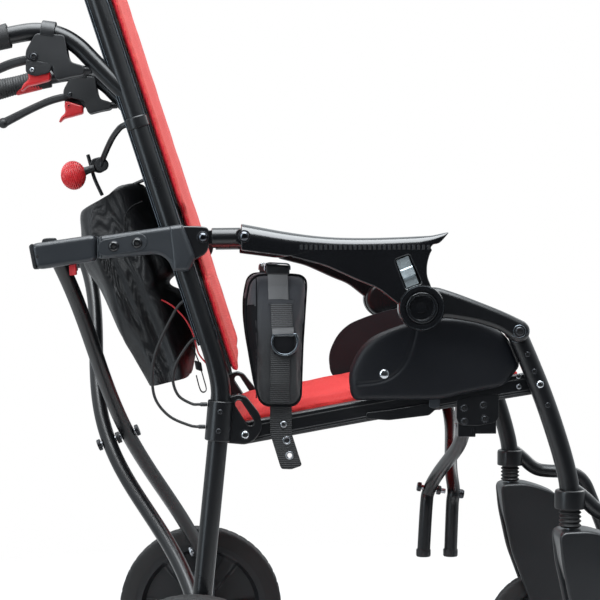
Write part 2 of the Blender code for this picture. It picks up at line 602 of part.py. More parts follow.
def tube(name, points, radius, resolution=TUBE_RESOLUTION):
    data = new_curve(name, "3D", [tuple(point) for point in points], False)
    data.bevel_depth = radius
    data.bevel_resolution = resolution
    data.use_fill_caps = True
    return take_mesh(bpy.data.objects.new(name, data))


def plate(name, outline, lane):
    low, high = sorted(lane)
    data = new_curve(name, "2D", [(point[0], point[1], 0.0) for point in outline], True)
    data.fill_mode = "BOTH"
    data.extrude = (high - low) / 2
    item = bpy.data.objects.new(name, data)
    item.location = (0.0, (low + high) / 2, 0.0)
    item.rotation_euler = (math.radians(90), 0.0, 0.0)
    return take_mesh(item)


def mesh_object(name, cage):
    mesh = bpy.data.meshes.new(name)
    bmesh.ops.recalc_face_normals(cage, faces=cage.faces)
    cage.to_mesh(mesh)
    cage.free()
    return bpy.data.objects.new(name, mesh)


def rod(name, start, end, radius, sides=PIN_SIDES):
    start = Vector(start)
    end = Vector(end)
    reach = end - start
    turn = reach.to_track_quat("Z", "Y").to_matrix().to_4x4()
    place = Matrix.Translation((start + end) / 2) @ turn
    cage = bmesh.new()
    bmesh.ops.create_cone(
        cage, cap_ends=True, segments=sides, radius1=radius, radius2=radius, depth=reach.length,
        matrix=place,
    )
    return mesh_object(name, cage)


def cross_rod(name, point, lane, radius, sides=PIN_SIDES):
    return rod(name, (point[0], lane[0], point[1]), (point[0], lane[1], point[1]), radius, sides)


def block(name, x_span, y_span, z_span):
    cage = bmesh.new()
    spans = [sorted(x_span), sorted(y_span), sorted(z_span)]
    sizes = [high - low for low, high in spans]
    centre = [(high + low) / 2 for low, high in spans]
    place = Matrix.Translation(centre) @ Matrix.Diagonal((*sizes, 1.0))
    bmesh.ops.create_cube(cage, size=1.0, matrix=place)
    return mesh_object(name, cage)


def turned(name, profile, centre, axis_turn, steps):
    cage = bmesh.new()
    corners = [cage.verts.new((radius, 0.0, height)) for radius, height in profile]
    for lower, upper in zip(corners, corners[1:]):
        cage.edges.new((lower, upper))
    mesh = bpy.data.meshes.new(name)
    cage.to_mesh(mesh)
    cage.free()
    item = bpy.data.objects.new(name, mesh)
    screw = item.modifiers.new("turn", "SCREW")
    screw.steps = steps
    screw.render_steps = steps
    screw.use_merge_vertices = True
    screw.merge_threshold = TURN_MERGE
    item.matrix_world = Matrix.Translation(centre) @ axis_turn
    return take_mesh(item)


def lofted(name, rings):
    # Each ring is a closed row of points; neighbouring rings are joined by quads.
    cage = bmesh.new()
    rows = [[cage.verts.new(point) for point in ring] for ring in rings]
    count = len(rows[0])
    for lower, upper in zip(rows, rows[1:]):
        for index in range(count):
            after = (index + 1) % count
            cage.faces.new((lower[index], lower[after], upper[after], upper[index]))
    cage.faces.new(rows[0])
    cage.faces.new(rows[-1])
    return mesh_object(name, cage)


def combine(target, operands, operation):
    for operand in operands:
        cutters.objects.link(operand)
        operand.hide_render = True
        operand.display_type = "WIRE"
        step = target.modifiers.new(operation.lower(), "BOOLEAN")
        step.operation = operation
        step.solver = "EXACT"
        step.object = operand


def add(target, *operands):
    combine(target, operands, "UNION")


def cut(target, *operands):
    combine(target, operands, "DIFFERENCE")


def deliver(solid, material, origin):
    # The origin becomes the piece's joint axis or its own reference point.
    origin = Vector(origin)
    solid.data.transform(Matrix.Translation(-origin))
    solid.location = origin
    solid.data.materials.clear()
    solid.data.materials.append(material)
    solid.data.shade_smooth()
    solid.data.set_sharp_from_angle(angle=math.radians(SHARP_ANGLE))
    parts.objects.link(solid)


def lane_of(side, lane):
    return tuple(sorted((side * lane[0], side * lane[1])))


def through_bore(name, side, point, pin_radius, clearance=PIN_CLEARANCE):
    return cross_rod(name, point, lane_of(side, THROUGH_LANE), pin_radius + clearance)


def at(side, point, depth=SIDE_PLANE):
    return (point[0], side * depth, point[1])


def side_route(side, route):
    return [at(side, point) for point in route]


def round_end(centre, radius, first, last, steps=CORNER_STEPS):
    return [
        (
            centre[0] + radius * math.cos(math.radians(first + (last - first) * step / steps)),
            centre[1] + radius * math.sin(math.radians(first + (last - first) * step / steps)),
        )
        for step in range(steps + 1)
    ]


def capsule(start, end, radius):
    heading = math.degrees(math.atan2(end[1] - start[1], end[0] - start[0]))
    return (
        round_end(end, radius, heading - 90, heading + 90, CAPSULE_STEPS)
        + round_end(start, radius, heading + 90, heading + 270, CAPSULE_STEPS)
    )


def bar_outline(points, half):
    # Outline of a flat bar of even height along a bent line, with round ends.
    upper = []
    lower = []
    for index, point in enumerate(points[1:-1], start=1):
        before = Vector(points[index - 1])
        after = Vector(points[index + 1])
        along = (after - before).normalized()
        upper.append((point[0] - along.y * half, point[1] + along.x * half))
        lower.append((point[0] + along.y * half, point[1] - along.x * half))
    first = math.degrees(math.atan2(points[1][1] - points[0][1], points[1][0] - points[0][0]))
    last = math.degrees(math.atan2(points[-1][1] - points[-2][1], points[-1][0] - points[-2][0]))
    return (
        lower
        + round_end(points[-1], half, last - 90, last + 90)
        + list(reversed(upper))
        + round_end(points[0], half, first + 90, first + 270)
    )


def smooth_route(points, steps):
    # A Catmull-Rom curve through the points.
    route = []
    count = len(points)
    for index in range(count - 1):
        before = Vector(points[max(index - 1, 0)])
        start = Vector(points[index])
        end = Vector(points[index + 1])
        after = Vector(points[min(index + 2, count - 1)])
        for step in range(steps):
            t = step / steps
            route.append(
                0.5 * (
                    2 * start + (end - before) * t
                    + (2 * before - 5 * start + 4 * end - after) * t * t
                    + (3 * start - before - 3 * end + after) * t * t * t
                )
            )
    route.append(Vector(points[-1]))
    return route


def back_tube_point(height, offset=0.0):
    # Centre line of the straight back tube, moved forward by offset square to it.
    share = (height - BACK_TUBE_KNEE[1]) / (BACK_TUBE_TOP[1] - BACK_TUBE_KNEE[1])
    x = BACK_TUBE_KNEE[0] + share * (BACK_TUBE_TOP[0] - BACK_TUBE_KNEE[0])
    rise = Vector((BACK_TUBE_TOP[0] - BACK_TUBE_KNEE[0], BACK_TUBE_TOP[1] - BACK_TUBE_KNEE[1]))
    rise.normalize()
    return (x + offset * rise[1], height - offset * rise[0])


def back_tube_cutter(name, side, radius, heights):
    low, high = [at(side, back_tube_point(height)) for height in heights]
    return rod(name, low, high, radius, DISC_SIDES)


def cross_axes():
    up = Vector((CROSS_TOP[0] - CROSS_BOTTOM[0], 0.0, CROSS_TOP[1] - CROSS_BOTTOM[1]))
    length = up.length
    up.normalize()
    return up, Vector((up.z, 0.0, -up.x)), length


def cross_point(reach, y, forward):
    up, front, _ = cross_axes()
    return Vector((CROSS_BOTTOM[0], y, CROSS_BOTTOM[1])) + up * reach + front * forward


def cross_width(reach):
    _, _, length = cross_axes()
    if reach < CROSS_BOLT_REACH:
        return CROSS_BOTTOM_Y * (1.0 - reach / CROSS_BOLT_REACH)
    return -CROSS_TOP_Y * (reach - CROSS_BOLT_REACH) / (length - CROSS_BOLT_REACH)


def cross_forward(reach, bow):
    # The bow follows a raised sine between the two end pivots and peaks near the bolt.
    _, _, length = cross_axes()
    share = min(max(reach / length, 0.0), 1.0)
    peak = math.sin(math.pi * CROSS_BOLT_REACH / length) ** 2
    return bow * math.sin(math.pi * share) ** 2 / peak


def cross_ear(tag, reach, y):
    # The round ear that a cross tube's end turns against.
    rear = cross_point(reach, y, CROSS_LUG_FRONT)
    front = cross_point(reach, y, CROSS_LUG_FRONT + CROSS_LUG_THICKNESS)
    return rod("ear_" + tag, rear, front, CROSS_LUG_HALF)


def cross_ear_web(tag, ear, root):
    # The web from the ear to the piece that carries it, each given as (reach, y).
    depth = CROSS_LUG_FRONT + CROSS_LUG_THICKNESS
    return rod("ear_web_" + tag, cross_point(*ear, depth), cross_point(*root, depth), CROSS_WEB_RADIUS)


def rear_frame(side, tag):
    frame = tube("rear_frame_" + tag, side_route(side, REAR_LEG_ROUTE), TUBE_RADIUS)
    foot = side * CROSS_BOTTOM_Y
    web = cross_ear_web(tag, (0.0, foot), (0.0, side * SIDE_PLANE))
    pin_start = cross_point(0.0, foot, -CROSS_PIN_REACH)
    pin_end = cross_point(0.0, foot, CROSS_LUG_FRONT + CROSS_LUG_THICKNESS / 2)
    pin = rod("ear_pin_" + tag, pin_start, pin_end, CROSS_BOLT_RADIUS)
    add(frame, web, cross_ear(tag, 0.0, foot), pin)
    deliver(frame, satin_black(frame.name), at(side, BACK_TUBE_KNEE))


def seat_plate(side, tag):
    base = plate("seat_plate_" + tag, SEAT_PLATE_OUTLINE, lane_of(side, SEAT_PLATE_LANE))
    upper, lower = [Vector(at(side, point)) for point in SEAT_SLEEVE_ENDS]
    pin_lane = lane_of(side, (RAIL_LANE[0] + RAIL_PIN_INSET, SEAT_PLATE_LANE[0] + RAIL_PIN_ROOT))
    add(
        base,
        rod("sleeve_" + tag, lower, upper, SEAT_SLEEVE_RADIUS, DISC_SIDES),
        cross_rod("rail_pin_" + tag, RAIL_PIVOT, pin_lane, MAIN_PIN_RADIUS),
    )
    slot_lane = lane_of(side, (SEAT_PLATE_LANE[0] - OVERCUT, SEAT_PLATE_LANE[1] + OVERCUT))
    slot = plate("seat_slot_" + tag, capsule(*SEAT_PLATE_SLOT, SEAT_PLATE_SLOT_RADIUS), slot_lane)
    overrun = (upper - lower).normalized() * OVERCUT * 2
    bore = rod("bore_" + tag, lower - overrun, upper + overrun, SEAT_SLEEVE_BORE, DISC_SIDES)
    cut(base, slot, bore)
    deliver(base, satin_black(base.name), at(side, RAIL_PIVOT))


def axle_block(side, tag):
    base = plate("axle_block_" + tag, AXLE_BLOCK_OUTLINE, lane_of(side, AXLE_BLOCK_LANE))
    root = AXLE_BLOCK_LANE[1] - AXLE_ROOT
    axle_lane = lane_of(side, (root, REAR_WHEEL_LANE[1] - AXLE_END_INSET))
    shoulder_lane = lane_of(side, (root, REAR_WHEEL_LANE[0] - CLEARANCE))
    add(
        base,
        cross_rod("axle_" + tag, REAR_AXLE, axle_lane, AXLE_RADIUS),
        cross_rod("axle_shoulder_" + tag, REAR_AXLE, shoulder_lane, AXLE_SHOULDER_RADIUS),
    )
    lower = Vector(at(side, REAR_LEG_ROUTE[-1]))
    upper = Vector(at(side, REAR_LEG_ROUTE[-2]))
    reach = (upper - lower).normalized()
    start = lower - reach * CLEARANCE
    end = lower + reach * AXLE_BLOCK_BORE_DEPTH
    cut(base, rod("leg_bore_" + tag, start, end, TUBE_RADIUS + CLEARANCE, DISC_SIDES))
    deliver(base, cast_grey(base.name), at(side, REAR_AXLE))


def wheel_profile(radius, half_width, tyre_depth, bore, hub_radius):
    # Half section from the bore to the tread: hub face, dished web, rim and round tyre.
    web = half_width * WEB_SHARE
    hub_face = half_width * HUB_FACE_SHARE
    rim = radius - tyre_depth
    half = [
        (bore, hub_face), (hub_radius, hub_face), (hub_radius * HUB_FLARE_SHARE, web),
        (rim * WEB_EDGE_SHARE, web), (rim * RIM_EDGE_SHARE, half_width),
        (rim + tyre_depth * TYRE_SHOULDER_SHARE, half_width), (radius, half_width * TREAD_SHARE),
    ]
    return half + [(point[0], -point[1]) for point in reversed(half)] + [half[0]]


def wheel(name, profile, axle):
    along_y = Matrix.Rotation(math.radians(-90), 4, "X")
    solid = turned(name, profile, axle, along_y, WHEEL_SIDES)
    deliver(solid, black_rubber(name), axle)


def rear_wheel(side, tag):
    bore = AXLE_RADIUS + PIN_CLEARANCE
    half_width = REAR_WHEEL_WIDTH / 2
    profile = wheel_profile(REAR_WHEEL_RADIUS, half_width, REAR_TYRE_DEPTH, bore, REAR_HUB_RADIUS)
    wheel("rear_wheel_" + tag, profile, at(side, REAR_AXLE, sum(REAR_WHEEL_LANE) / 2))


def handle(side, tag):
    bar = tube("handle_" + tag, side_route(side, HANDLE_ROUTE), HANDLE_RADIUS)
    trigger_pin_lane = lane_of(side, (TRIGGER_LANE[0] + PIN_END, PERCH_CHEEK_LANE[1] - PIN_END))
    add(
        bar,
        plate("perch_" + tag, PERCH_OUTLINE, lane_of(side, PERCH_LANE)),
        plate("perch_cheek_" + tag, PERCH_CHEEK_OUTLINE, lane_of(side, PERCH_CHEEK_LANE)),
        cross_rod("trigger_pin_" + tag, TRIGGER_PIVOT, trigger_pin_lane, TRIGGER_PIN_RADIUS),
    )
    slot_span = (PERCH_REAR - OVERCUT, LEVER_SLOT_FRONT)
    slot = block("lever_slot_" + tag, slot_span, lane_of(side, LEVER_SLOT_LANE), LEVER_SLOT_HEIGHTS)
    saddle = back_tube_cutter("handle_saddle_" + tag, side, TUBE_RADIUS + CLEARANCE, HANDLE_SADDLE_HEIGHTS)
    trim_lane = lane_of(side, (SIDE_PLANE - HANDLE_TRIM_HALF, SIDE_PLANE + HANDLE_TRIM_HALF))
    trim = block("handle_trim_" + tag, HANDLE_TRIM_SPAN, trim_lane, HANDLE_TRIM_HEIGHTS)
    cut(bar, slot, saddle, trim)
    lever_pin_lane = lane_of(side, (PERCH_LANE[0] + PIN_END, PERCH_LANE[1] - PIN_END))
    add(bar, cross_rod("lever_pin_" + tag, LEVER_PIVOT, lever_pin_lane, LEVER_PIN_RADIUS))
    deliver(bar, satin_black(bar.name), at(side, HANDLE_ROUTE[1]))


def grip(side, tag):
    start, end = [at(side, point) for point in GRIP_ENDS]
    sleeve = rod("grip_" + tag, start, end, GRIP_RADIUS, DISC_SIDES)
    edge = sleeve.modifiers.new("edge", "BEVEL")
    edge.width = GRIP_EDGE
    edge.segments = 2
    edge.limit_method = "ANGLE"
    last = Vector(at(side, HANDLE_ROUTE[-1]))
    back = Vector(at(side, HANDLE_ROUTE[-2]))
    lie = (last - back).normalized()
    bore_start = back - lie * GRIP_BORE_REACH
    bore_end = last + lie * CLEARANCE
    cut(sleeve, rod("grip_bore_" + tag, bore_start, bore_end, HANDLE_RADIUS + CLEARANCE, DISC_SIDES))
    deliver(sleeve, black_rubber(sleeve.name), start)


def brake_lever(side, tag):
    lever = plate("brake_lever_" + tag, LEVER_OUTLINE, lane_of(side, LEVER_LANE))
    cut(lever, through_bore("lever_bore_" + tag, side, LEVER_PIVOT, LEVER_PIN_RADIUS))
    deliver(lever, satin_black(lever.name), at(side, LEVER_PIVOT))


def lock_trigger(side, tag):
    trigger = plate("lock_trigger_" + tag, TRIGGER_OUTLINE, lane_of(side, TRIGGER_LANE))
    cut(trigger, through_bore("trigger_bore_" + tag, side, TRIGGER_PIVOT, TRIGGER_PIN_RADIUS))
    deliver(trigger, red_plastic(trigger.name), at(side, TRIGGER_PIVOT))


def runner(side, tag):
    shoe = plate("runner_" + tag, RUNNER_OUTLINE, lane_of(side, RUNNER_LANE))
    raised = lane_of(side, (RUNNER_LANE[1] - RUNNER_PAD_ROOT, RUNNER_LANE[1] + RUNNER_PAD_RISE))
    add(
        shoe,
        plate("runner_lug_" + tag, RUNNER_LUG_OUTLINE, lane_of(side, RUNNER_LUG_LANE)),
        plate("runner_boss_" + tag, capsule(*RUNNER_PAD_ENDS, RUNNER_PAD_RADIUS), raised),
    )
    bore_heights = (RUNNER_LOW - OVERCUT * 5, RUNNER_HIGH + OVERCUT * 5)
    bore = back_tube_cutter("runner_bore_" + tag, side, RUNNER_BORE, bore_heights)
    slot_span = (LUG_SLOT_BACK, LUG_SLOT_BACK + TONGUE_RADIUS * 4)
    slot_heights = (ARM_PIVOT[1] - TONGUE_RADIUS * 5, ARM_PIVOT[1] + TONGUE_RADIUS * 4)
    slot = block("lug_slot_" + tag, slot_span, lane_of(side, LUG_SLOT_LANE), slot_heights)
    cut(shoe, bore, slot)
    pin_lane = lane_of(side, (RUNNER_LUG_LANE[0] + PIN_END, RUNNER_LUG_LANE[1] - PIN_END))
    add(shoe, cross_rod("arm_pin_" + tag, ARM_PIVOT, pin_lane, ARM_PIN_RADIUS))
    deliver(shoe, cast_grey(shoe.name), at(side, ARM_PIVOT))


def outrigger(side, tag):
    bar = plate("outrigger_" + tag, OUTRIGGER_OUTLINE, lane_of(side, OUTRIGGER_LANE))
    _, _, length = cross_axes()
    top = side * CROSS_TOP_Y
    web = cross_ear_web(tag, (length, top), (length + EAR_WEB_RISE, side * (SIDE_PLANE - EAR_WEB_INSET)))
    cap = block("cap_" + tag, OUTRIGGER_CAP_SPAN, lane_of(side, OUTRIGGER_CAP_LANE), OUTRIGGER_CAP_HEIGHTS)
    add(bar, web, cross_ear(tag, length, top), cap)
    cut(bar, through_bore("outrigger_hole_" + tag, side, OUTRIGGER_HOLE, OUTRIGGER_HOLE_RADIUS, 0.0))
    deliver(bar, satin_black(bar.name), at(side, OUTRIGGER_OUTLINE[3]))


def arm_tube(side, tag):
    start, end = [at(side, point) for point in ARM_TUBE_ENDS]
    bar = rod("arm_tube_" + tag, start, end, ARM_TUBE_RADIUS, DISC_SIDES)
    tongue_outline = capsule(ARM_PIVOT, ARM_TUBE_ENDS[0], TONGUE_RADIUS)
    eye_half = ARM_TUBE_RADIUS - CLEARANCE
    eye_lane = lane_of(side, (SIDE_PLANE - eye_half, SIDE_PLANE + eye_half))
    add(
        bar,
        plate("arm_tongue_" + tag, tongue_outline, lane_of(side, TONGUE_LANE)),
        cross_rod("arm_eye_" + tag, ARMREST_PIVOT, eye_lane, ARM_TUBE_RADIUS, DISC_SIDES),
    )
    rear = through_bore("arm_bore_" + tag, side, ARM_PIVOT, ARM_PIN_RADIUS)
    front = through_bore("armrest_bore_" + tag, side, ARMREST_PIVOT, ARM_PIN_RADIUS)
    cut(bar, rear, front)
    deliver(bar, satin_black(bar.name), at(side, ARM_PIVOT))


def armrest(side, tag):
    rest = plate("armrest_" + tag, ARMREST_OUTLINE, lane_of(side, ARMREST_LANE))
    web_lane = lane_of(side, ARMREST_WEB_LANE)
    add(
        rest,
        plate("armrest_web_" + tag, ARMREST_WEB_OUTLINE, web_lane),
        cross_rod("hub_lug_" + tag, HUB_CENTRE, web_lane, HUB_RADIUS, HUB_SIDES),
    )
    slot_lane = lane_of(side, ARMREST_SLOT_LANE)
    slot = block("armrest_slot_" + tag, ARMREST_SLOT_SPAN, slot_lane, ARMREST_SLOT_HEIGHTS)
    pocket_outline = capsule(*LATCH_CENTRE_LINE, LATCH_HALF_WIDTH + LATCH_POCKET_MARGIN)
    pocket_lane = lane_of(side, (LATCH_POCKET_FLOOR, ARMREST_LANE[1] + OVERCUT))
    cut(rest, slot, plate("latch_pocket_" + tag, pocket_outline, pocket_lane))
    pin_start = ARMREST_LANE[0] - ARMREST_PIN_OVERHANG
    pin_lane = lane_of(side, (pin_start, ARMREST_SLOT_LANE[1] + ARMREST_PIN_ROOT))
    latch_pin_lane = lane_of(side, (LATCH_POCKET_FLOOR - PIN_ROOT, LATCH_LANE[1] - CLEARANCE))
    add(
        rest,
        cross_rod("armrest_pin_" + tag, ARMREST_PIVOT, pin_lane, ARM_PIN_RADIUS),
        cross_rod("latch_pin_" + tag, LATCH_CENTRE_LINE[0], latch_pin_lane, LATCH_PIN_RADIUS),
    )
    deliver(rest, gloss_black(rest.name), at(side, ARMREST_PIVOT))


def armrest_latch(side, tag):
    latch_top = LATCH_CENTRE_LINE[0]
    outline = capsule(*LATCH_CENTRE_LINE, LATCH_HALF_WIDTH)
    tongue = plate("armrest_latch_" + tag, outline, lane_of(side, LATCH_LANE))
    cut(tongue, through_bore("latch_bore_" + tag, side, latch_top, LATCH_PIN_RADIUS))
    deliver(tongue, bare_aluminium(tongue.name), at(side, latch_top, LATCH_LANE[0]))


def hub_cap(side, tag):
    rise = [(radius, HUB_CAP_DEPTH * share) for radius, share in HUB_CAP_PROFILE]
    profile = [(0.0, rise[0][1]), *rise, (HUB_RADIUS, 0.0), (0.0, 0.0)]
    outward = Matrix.Rotation(math.radians(-90 * side), 4, "X")
    place = at(side, HUB_CENTRE, HUB_CAP_LANE[0])
    cap = turned("hub_cap_" + tag, profile, place, outward, HUB_SIDES)
    deliver(cap, gloss_black(cap.name), place)


def front_arm(side, tag):
    outline = (
        round_end(HUB_CENTRE, FRONT_ARM_HUB_RADIUS, 70, 300)
        + FRONT_ARM_LOWER_EDGE
        + round_end(LEG_ARM_PIVOT, FRONT_ARM_END_RADIUS, -110, 60)
        + FRONT_ARM_UPPER_EDGE
    )
    arm = plate("front_arm_" + tag, outline, lane_of(side, FRONT_ARM_LANE))
    cut(arm, through_bore("arm_leg_bore_" + tag, side, LEG_ARM_PIVOT, MAIN_PIN_RADIUS))
    deliver(arm, satin_black(arm.name), at(side, LEG_ARM_PIVOT))


def rail_height(x):
    start, middle, end = RAIL_CENTRE_LINE
    if x < middle[0]:
        return start[1] + (middle[1] - start[1]) * (x - start[0]) / (middle[0] - start[0])
    return middle[1] + (end[1] - middle[1]) * (x - middle[0]) / (end[0] - middle[0])


def bracket_blocks(side, tag):
    # A flange that runs up into the rail, and the part that stands inboard of it.
    flange_lane = lane_of(side, (RAIL_LANE[0] + CLEARANCE, BRACKET_LANE[1]))
    flange_top = rail_height(BRACKET_SPAN[0])
    inner_lane = lane_of(side, (BRACKET_LANE[0], BRACKET_LANE[1]))
    return (
        block("bracket_" + tag, BRACKET_SPAN, inner_lane, (BRACKET_BOTTOM, BRACKET_TOP)),
        block("bracket_flange_" + tag, BRACKET_SPAN, flange_lane, (BRACKET_TOP - PIN_ROOT, flange_top)),
    )


def brace_route(side):
    route = BRACE_ROUTE_RIGHT if side < 0 else BRACE_ROUTE_LEFT
    return [
        (point[0], side * BRACE_PIVOT_Y * share, point[1])
        for point, share in zip(route, BRACE_ROUTE_SHARE)
    ]


def seat_rail(side, tag):
    outline = bar_outline(RAIL_CENTRE_LINE, RAIL_HALF_HEIGHT)
    rail = plate("seat_rail_" + tag, outline, lane_of(side, RAIL_LANE))
    leg_pin_lane = lane_of(side, (RAIL_LANE[1] - LEG_PIN_ROOT, SIDE_PLANE + LEG_TUBE_RADIUS - PIN_END))
    hip_pin_lane = lane_of(side, (RAIL_LANE[1] - HIP_PIN_ROOT, HIP_STRAP_LANE[1] - PIN_CLEARANCE))
    add(
        rail,
        *bracket_blocks(side, tag),
        cross_rod("leg_pin_" + tag, LEG_RAIL_PIVOT, leg_pin_lane, MAIN_PIN_RADIUS, POST_SIDES),
        cross_rod("hip_pin_" + tag, HIP_PIVOT, hip_pin_lane, HIP_PIN_RADIUS),
    )
    top_x, top_y, top_z = brace_route(side)[0]
    half = BRACE_SOCKET_WIDTH / 2
    socket_span = (top_x - half, top_x + half)
    socket_lane = lane_of(side, (BRACKET_LANE[0] - OVERCUT, BRACE_PIVOT_Y + BRACE_SWEEP_RADIUS))
    socket_heights = (BRACKET_BOTTOM - OVERCUT, BRACE_PIVOT_Z + BRACE_SWEEP_RADIUS)
    socket = block("socket_" + tag, socket_span, socket_lane, socket_heights)
    cut(rail, socket, through_bore("rail_bore_" + tag, side, RAIL_PIVOT, MAIN_PIN_RADIUS))
    pin_start = (socket_span[0] - BRACE_PIN_ROOT, top_y, top_z)
    pin_end = (socket_span[1] + BRACE_PIN_ROOT, top_y, top_z)
    add(rail, rod("socket_pin_" + tag, pin_start, pin_end, BRACE_PIN_RADIUS))
    deliver(rail, satin_black(rail.name), at(side, RAIL_PIVOT, RAIL_LANE[1]))


def brace_bolt_point(x):
    middle_x = (BRACE_ROUTE_RIGHT[BRACE_CROSSING][0] + BRACE_ROUTE_LEFT[BRACE_CROSSING][0]) / 2
    return (x, 0.0, BRACE_BOLT_Z + (x - middle_x) * BRACE_BOLT_SLOPE)


def brace(side, tag):
    route = brace_route(side)
    pivot = Vector(route[0])
    outward = pivot + Vector((0.0, side * BRACE_OVERHANG, 0.0))
    arm = tube("brace_" + tag, [outward, *smooth_route(route, BRACE_STEPS)], BRACE_RADIUS)
    reach = Vector((BRACE_BORE_REACH, 0.0, 0.0))
    bore_radius = BRACE_PIN_RADIUS + PIN_CLEARANCE
    cut(arm, rod("brace_bore_" + tag, pivot - reach, pivot + reach, bore_radius))
    if side < 0:
        near = BRACE_ROUTE_RIGHT[BRACE_CROSSING][0]
        start = brace_bolt_point(near - BRACE_RADIUS * 2)
        end = brace_bolt_point(near + BRACE_RADIUS * 2)
        cut(arm, rod("bolt_bore", start, end, bore_radius))
    else:
        far = BRACE_ROUTE_LEFT[BRACE_CROSSING][0]
        head = brace_bolt_point(far + BRACE_RADIUS + BRACE_HEAD_HEIGHT)
        add(arm, rod("brace_head", brace_bolt_point(far), head, BRACE_HEAD_RADIUS))
    deliver(arm, satin_black(arm.name), pivot)


def brace_bolt():
    near = BRACE_ROUTE_RIGHT[BRACE_CROSSING][0]
    far = BRACE_ROUTE_LEFT[BRACE_CROSSING][0]
    hold = BRACE_RADIUS + BRACE_BOLT_GAP
    stem_start = brace_bolt_point(near - hold - PIN_ROOT)
    stem_end = brace_bolt_point(far - hold - PIN_ROOT)
    stem = rod("brace_bolt", stem_start, stem_end, BRACE_PIN_RADIUS)
    head = brace_bolt_point(near - hold - BRACE_HEAD_HEIGHT)
    add(
        stem,
        rod("bolt_head", head, brace_bolt_point(near - hold), BRACE_HEAD_RADIUS),
        rod("bolt_spacer", brace_bolt_point(near + hold), brace_bolt_point(far - hold), BRACE_HEAD_RADIUS),
    )
    deliver(stem, zinc_steel(stem.name), brace_bolt_point(near))


def front_leg(side, tag):
    leg = tube("front_leg_" + tag, side_route(side, FRONT_LEG_ROUTE), LEG_TUBE_RADIUS)
    crown_inner = SIDE_PLANE - LEG_TUBE_RADIUS + LEG_CROWN_INNER_INSET
    crown_outer = SIDE_PLANE + LEG_TUBE_RADIUS - LEG_CROWN_OUTER_INSET
    crown_radius = LEG_TUBE_RADIUS + LEG_CROWN_MARGIN
    crown_lane = lane_of(side, (crown_inner, crown_outer))
    collar_low = at(side, (CASTER_AXIS_X, COLLAR_BOTTOM))
    collar_high = at(side, (CASTER_AXIS_X, COLLAR_TOP))
    knuckle_outline = capsule(HANGER_ROUTE[-1], FOOT_PIVOT, FOOT_BARREL_RADIUS)
    foot_pin_lane = lane_of(side, (FOOT_LANE[0] + FOOT_PIN_INSET, FOOT_KNUCKLE_LANE[0] + FOOT_PIN_ROOT))
    add(
        leg,
        cross_rod("leg_crown_" + tag, LEG_ARM_PIVOT, crown_lane, crown_radius, DISC_SIDES),
        rod("collar_" + tag, collar_low, collar_high, COLLAR_RADIUS, DISC_SIDES),
        tube("hanger_" + tag, side_route(side, HANGER_ROUTE), HANGER_RADIUS),
        plate("knuckle_" + tag, knuckle_outline, lane_of(side, FOOT_KNUCKLE_LANE)),
        cross_rod("foot_pin_" + tag, FOOT_PIVOT, foot_pin_lane, FOOT_PIN_RADIUS),
    )
    pocket_low = at(side, (CASTER_AXIS_X, COLLAR_BOTTOM - OVERCUT))
    pocket_high = at(side, (CASTER_AXIS_X, COLLAR_POCKET_TOP))
    pocket = rod("pocket_" + tag, pocket_low, pocket_high, POCKET_RADIUS, DISC_SIDES)
    cut(leg, pocket, through_bore("leg_rail_bore_" + tag, side, LEG_RAIL_PIVOT, MAIN_PIN_RADIUS))
    arm_pin_lane = lane_of(side, (SIDE_PLANE, FRONT_ARM_LANE[1] - PIN_END))
    add(leg, cross_rod("arm_leg_pin_" + tag, LEG_ARM_PIVOT, arm_pin_lane, MAIN_PIN_RADIUS))
    deliver(leg, satin_black(leg.name), at(side, LEG_RAIL_PIVOT))


def caster_post(side, tag):
    # A ribbed sleeve over a swivel spigot.
    bottom = FORK_TOP + POST_GAP
    spigot_end = FORK_TOP - FORK_STEM_BORE_DEPTH + POST_SPIGOT_GAP
    pitch = (POST_TOP - bottom) / POST_RINGS
    wall = [(0.0, POST_TOP)]
    for ring in range(POST_RINGS):
        height = POST_TOP - ring * pitch
        wall += [(POST_WAIST_RADIUS, height), (POST_CREST_RADIUS, height - pitch / 2)]
    wall += [(POST_WAIST_RADIUS, bottom), (POST_SPIGOT_RADIUS, bottom)]
    wall += [(POST_SPIGOT_RADIUS, spigot_end), (0.0, spigot_end)]
    profile = [(radius, height - bottom) for radius, height in wall]
    place = at(side, (CASTER_AXIS_X, bottom))
    post = turned("caster_post_" + tag, profile, place, Matrix.Identity(4), POST_SIDES)
    deliver(post, black_rubber(post.name), place)


